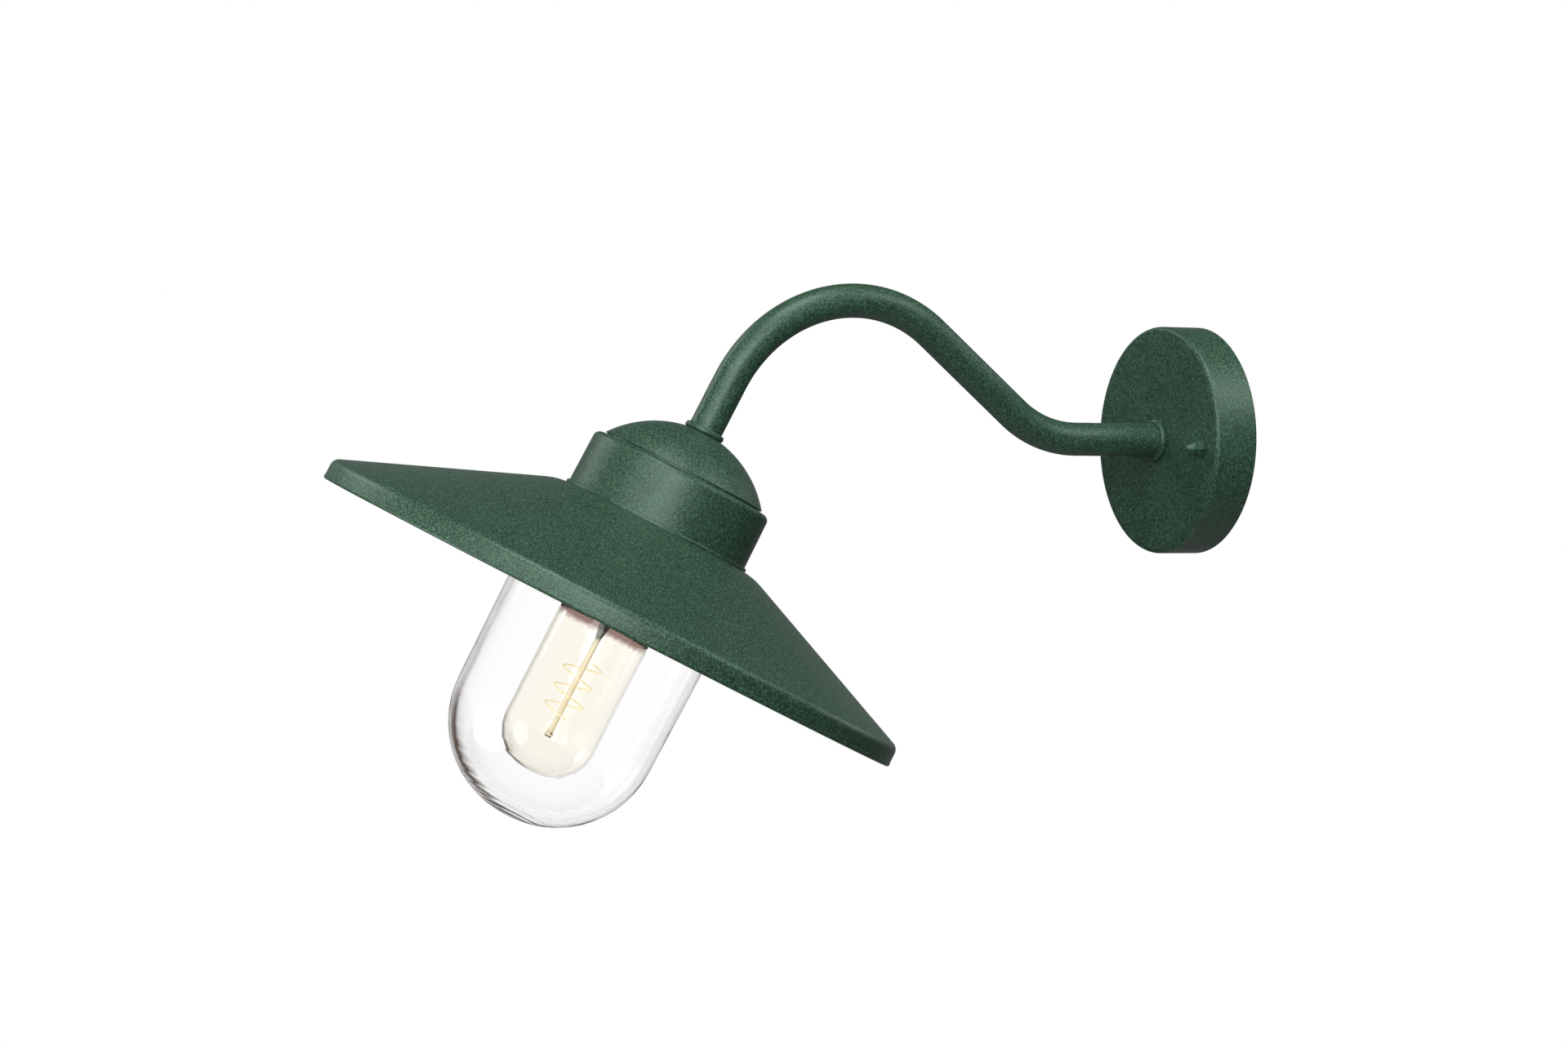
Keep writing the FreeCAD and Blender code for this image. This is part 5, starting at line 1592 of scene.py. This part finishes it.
@dataclass
class Studio:
    """Pale floor, soft lamps, white surroundings and the camera.

    A glossy ray sees the dim flag all round, and a faint sheet behind the lamp. A ray that has
    passed through the glass sees white, apart from a brown card low on the left, which darkens
    the jar's left edge. Each reach is a pair of cosines: where a sheet or card begins to show, and
    where it shows in full.
    """

    soft_boxes: tuple[SoftBox, ...] = (
        SoftBox("front", 0.0, 14.0, 1300.0, 1.7),
        SoftBox("above", 12.0, 66.0, 1300.0, 1.6),
        SoftBox("left_low", -72.0, -8.0, 640.0, 1.4, 900.0),
        SoftBox("left_high", -32.0, 26.0, 900.0, 0.58),
        SoftBox("right_high", 75.0, 35.0, 420.0, 0.6, 800.0),
        SoftBox("left_behind", -118.0, 34.0, 1100.0, 0.5),
        SoftBox("wall_side", 124.0, 12.0, 1100.0, 0.3),
    )
    ambient: float = 0.03
    flag_level: float = 0.05
    sheet_level: float = 0.3
    sheet_reach: tuple[float, float] = (0.80, 0.985)
    card: str = "#62564F"
    card_side: float = 1.2
    card_drop: float = 0.45
    card_reach: tuple[float, float] = (0.78, 0.94)
    inner_mirror: float = 0.95
    target: tuple[float, float, float] = (0.0, -220.51, -40.88)
    azimuth: float = 63.157
    elevation: float = 9.887
    roll: float = 4.998
    distance: float = 1932.28
    lens: float = 95.22
    sensor: float = 36.0
    sight_m: float = 100.0
    floor_colour: str = "#E6E6E4"
    floor_roughness: float = 0.9
    floor_mirror: float = 0.06
    floor_drop: float = 2400.0
    floor_side: float = 5000.0

    def build(self) -> None:
        """Set the stage up."""
        self.camera()
        self.floor()
        self.world()
        self.lamps()
        bpy.context.scene.view_settings.view_transform = "Standard"

    def camera_axes(self) -> tuple[Vector, Vector, Vector]:
        """Find how the camera is turned.

        Returns:
            Its right, its up and its back.
        """
        azimuth, elevation, roll = (
            math.radians(angle) for angle in (self.azimuth, self.elevation, self.roll))
        back = Vector((math.sin(azimuth) * math.cos(elevation),
                       -math.cos(azimuth) * math.cos(elevation), math.sin(elevation)))
        level = Vector((math.cos(azimuth), math.sin(azimuth), 0))
        above = back.cross(level)
        right = level * math.cos(roll) + above * math.sin(roll)
        return right, back.cross(right), back

    def camera(self) -> None:
        """Camera at the photograph's angle and distance."""
        data = bpy.data.cameras.new("camera")
        data.lens = self.lens
        data.sensor_width = self.sensor
        data.clip_end = self.sight_m
        camera = bpy.data.objects.new("camera", data)
        bpy.context.scene.collection.objects.link(camera)
        axes = self.camera_axes()
        place = (Vector(self.target) + axes[2] * self.distance) * MM
        turn = Matrix([[axis[row] for axis in axes] for row in range(3)]).to_4x4()
        camera.matrix_world = Matrix.Translation(place) @ turn
        bpy.context.scene.camera = camera

    def floor(self) -> None:
        """Wide pale floor well below the lamp; the camera sees it as white."""
        half = self.floor_side / 2 * MM
        height = -self.floor_drop * MM
        mesh = bpy.data.meshes.new("floor")
        mesh.from_pydata([(-half, -half, height), (half, -half, height), (half, half, height),
                          (-half, half, height)], [], [(0, 1, 2, 3)])
        material = bpy.data.materials.new("pale_floor")
        material.use_nodes = True
        tree = material.node_tree
        shader = tree.nodes["Principled BSDF"]
        feed(tree, shader, {
            "Base Color": linear(self.floor_colour), "Roughness": self.floor_roughness})
        path = add_node(tree, "ShaderNodeLightPath")
        seen = add_node(tree, "ShaderNodeMath", {
            0: path.outputs["Is Camera Ray"], 1: path.outputs["Is Transmission Ray"]},
            operation="ADD", use_clamp=True)
        either = add_node(tree, "ShaderNodeMath", {
            0: path.outputs["Is Glossy Ray"], 1: self.in_glass(tree, path, self.floor_mirror),
            2: seen.outputs["Value"]}, operation="MULTIPLY_ADD", use_clamp=True)
        glow = add_node(tree, "ShaderNodeEmission", {"Color": linear("#FFFFFF"), "Strength": 1.0})
        mixed = add_node(tree, "ShaderNodeMixShader", {
            0: either.outputs["Value"], 1: shader.outputs["BSDF"], 2: glow.outputs["Emission"]})
        feed(tree, tree.nodes["Material Output"], {"Surface": mixed.outputs["Shader"]})
        mesh.materials.append(material)
        floor = bpy.data.objects.new("floor", mesh)
        bpy.context.scene.collection.objects.link(floor)

    def world(self) -> None:
        """White behind the object, and a dim soft studio round it."""
        world = bpy.data.worlds.new("studio")
        world.use_nodes = True
        tree = world.node_tree
        tree.nodes.clear()
        way = add_node(tree, "ShaderNodeTexCoord").outputs["Generated"]
        path = add_node(tree, "ShaderNodeLightPath")
        right, up, back = self.camera_axes()
        sheet = self.toward(tree, way, -back, self.sheet_reach,
                            (self.flag_level, self.sheet_level))
        card = self.toward(tree, way, -self.card_side * right - self.card_drop * up - back,
                           self.card_reach, (0.0, 1.0))
        shown = add_node(tree, "ShaderNodeMix", {
            0: card, MIX_A: linear("#FFFFFF"), MIX_B: linear(self.card)}, data_type="RGBA")
        either = add_node(tree, "ShaderNodeMath", {
            0: path.outputs["Is Glossy Ray"], 1: path.outputs["Is Transmission Ray"]},
            operation="ADD", use_clamp=True)
        dim = add_node(tree, "ShaderNodeBackground", {
            "Color": linear("#FFFFFF"), "Strength": self.ambient})
        glossy = add_node(tree, "ShaderNodeBackground", {
            "Color": linear("#FFFFFF"), "Strength": self.in_glass(tree, path, sheet)})
        clear = add_node(tree, "ShaderNodeBackground", {
            "Color": shown.outputs[MIX_OUT], "Strength": 1.0})
        white = add_node(tree, "ShaderNodeBackground", {
            "Color": linear("#FFFFFF"), "Strength": 1.0})
        seen = add_node(tree, "ShaderNodeMixShader", {
            0: path.outputs["Is Transmission Ray"], 1: glossy.outputs["Background"],
            2: clear.outputs["Background"]})
        through = add_node(tree, "ShaderNodeMixShader", {
            0: either.outputs["Value"], 1: dim.outputs["Background"], 2: seen.outputs["Shader"]})
        mixed = add_node(tree, "ShaderNodeMixShader", {
            0: path.outputs["Is Camera Ray"], 1: through.outputs["Shader"],
            2: white.outputs["Background"]})
        add_node(tree, "ShaderNodeOutputWorld", {"Surface": mixed.outputs["Shader"]})
        bpy.context.scene.world = world

    def in_glass(self, tree: Tree, path: Node, level: Socket | float) -> Socket:
        """What a mirrored ray sees: white inside the glass, and a given level elsewhere.

        Args:
            tree: The tree that needs it.
            path: Its Light Path node.
            level: The level outside the glass.

        Returns:
            The level's socket.
        """
        inside = add_node(tree, "ShaderNodeMath", {
            0: path.outputs["Transmission Depth"], 1: 0.5}, operation="GREATER_THAN")
        mixed = add_node(tree, "ShaderNodeMix", {
            0: inside.outputs["Value"], LEVEL_A: level, LEVEL_B: self.inner_mirror},
            data_type="FLOAT")
        return mixed.outputs["Result"]

    @staticmethod
    def toward(tree: Tree, way: Socket, aim: Vector, reach: tuple[float, float],
               levels: tuple[float, float]) -> Socket:
        """A level that changes smoothly with the angle between a ray and a direction.

        Args:
            tree: The world's tree.
            way: The ray's direction.
            aim: The direction that it is measured from.
            reach: Cosines of the angles where the level begins and ends to change.
            levels: The levels away from the direction and close to it.

        Returns:
            The level's socket.
        """
        share = add_node(tree, "ShaderNodeVectorMath", {0: way, 1: aim.normalized()},
                         operation="DOT_PRODUCT")
        level = add_node(tree, "ShaderNodeMapRange", {
            "Value": share.outputs["Value"], "From Min": reach[0], "From Max": reach[1],
            "To Min": levels[0], "To Max": levels[1]}, interpolation_type="SMOOTHSTEP")
        return level.outputs["Result"]

    def lamps(self) -> None:
        """Soft boxes, each placed from the object as the camera sees it."""
        right, up, back = self.camera_axes()
        target = Vector(self.target)
        for lamp in self.soft_boxes:
            turn, rise = math.radians(lamp.turn), math.radians(lamp.rise)
            level = right * math.sin(turn) + back * math.cos(turn)
            way = (level * math.cos(rise) + up * math.sin(rise)) * lamp.distance
            data = bpy.data.lights.new(lamp.name, "AREA")
            data.shape = "DISK"
            data.size = lamp.across * MM
            data.energy = lamp.level * math.pi * (lamp.distance * MM) ** 2
            made = bpy.data.objects.new(lamp.name, data)
            bpy.context.scene.collection.objects.link(made)
            made.location = (target + way) * MM
            made.rotation_mode = "QUATERNION"
            made.rotation_quaternion = (-way).to_track_quat("-Z", "Y")


def main() -> None:
    """Build the lamp and its stage."""
    for part in (WallEnd(), Arm(), Head(), Jar(), Holder(), Bulb(), Studio()):
        log.info("-- %s", type(part).__name__)
        part.build()


if __name__ == "__main__":
    main()
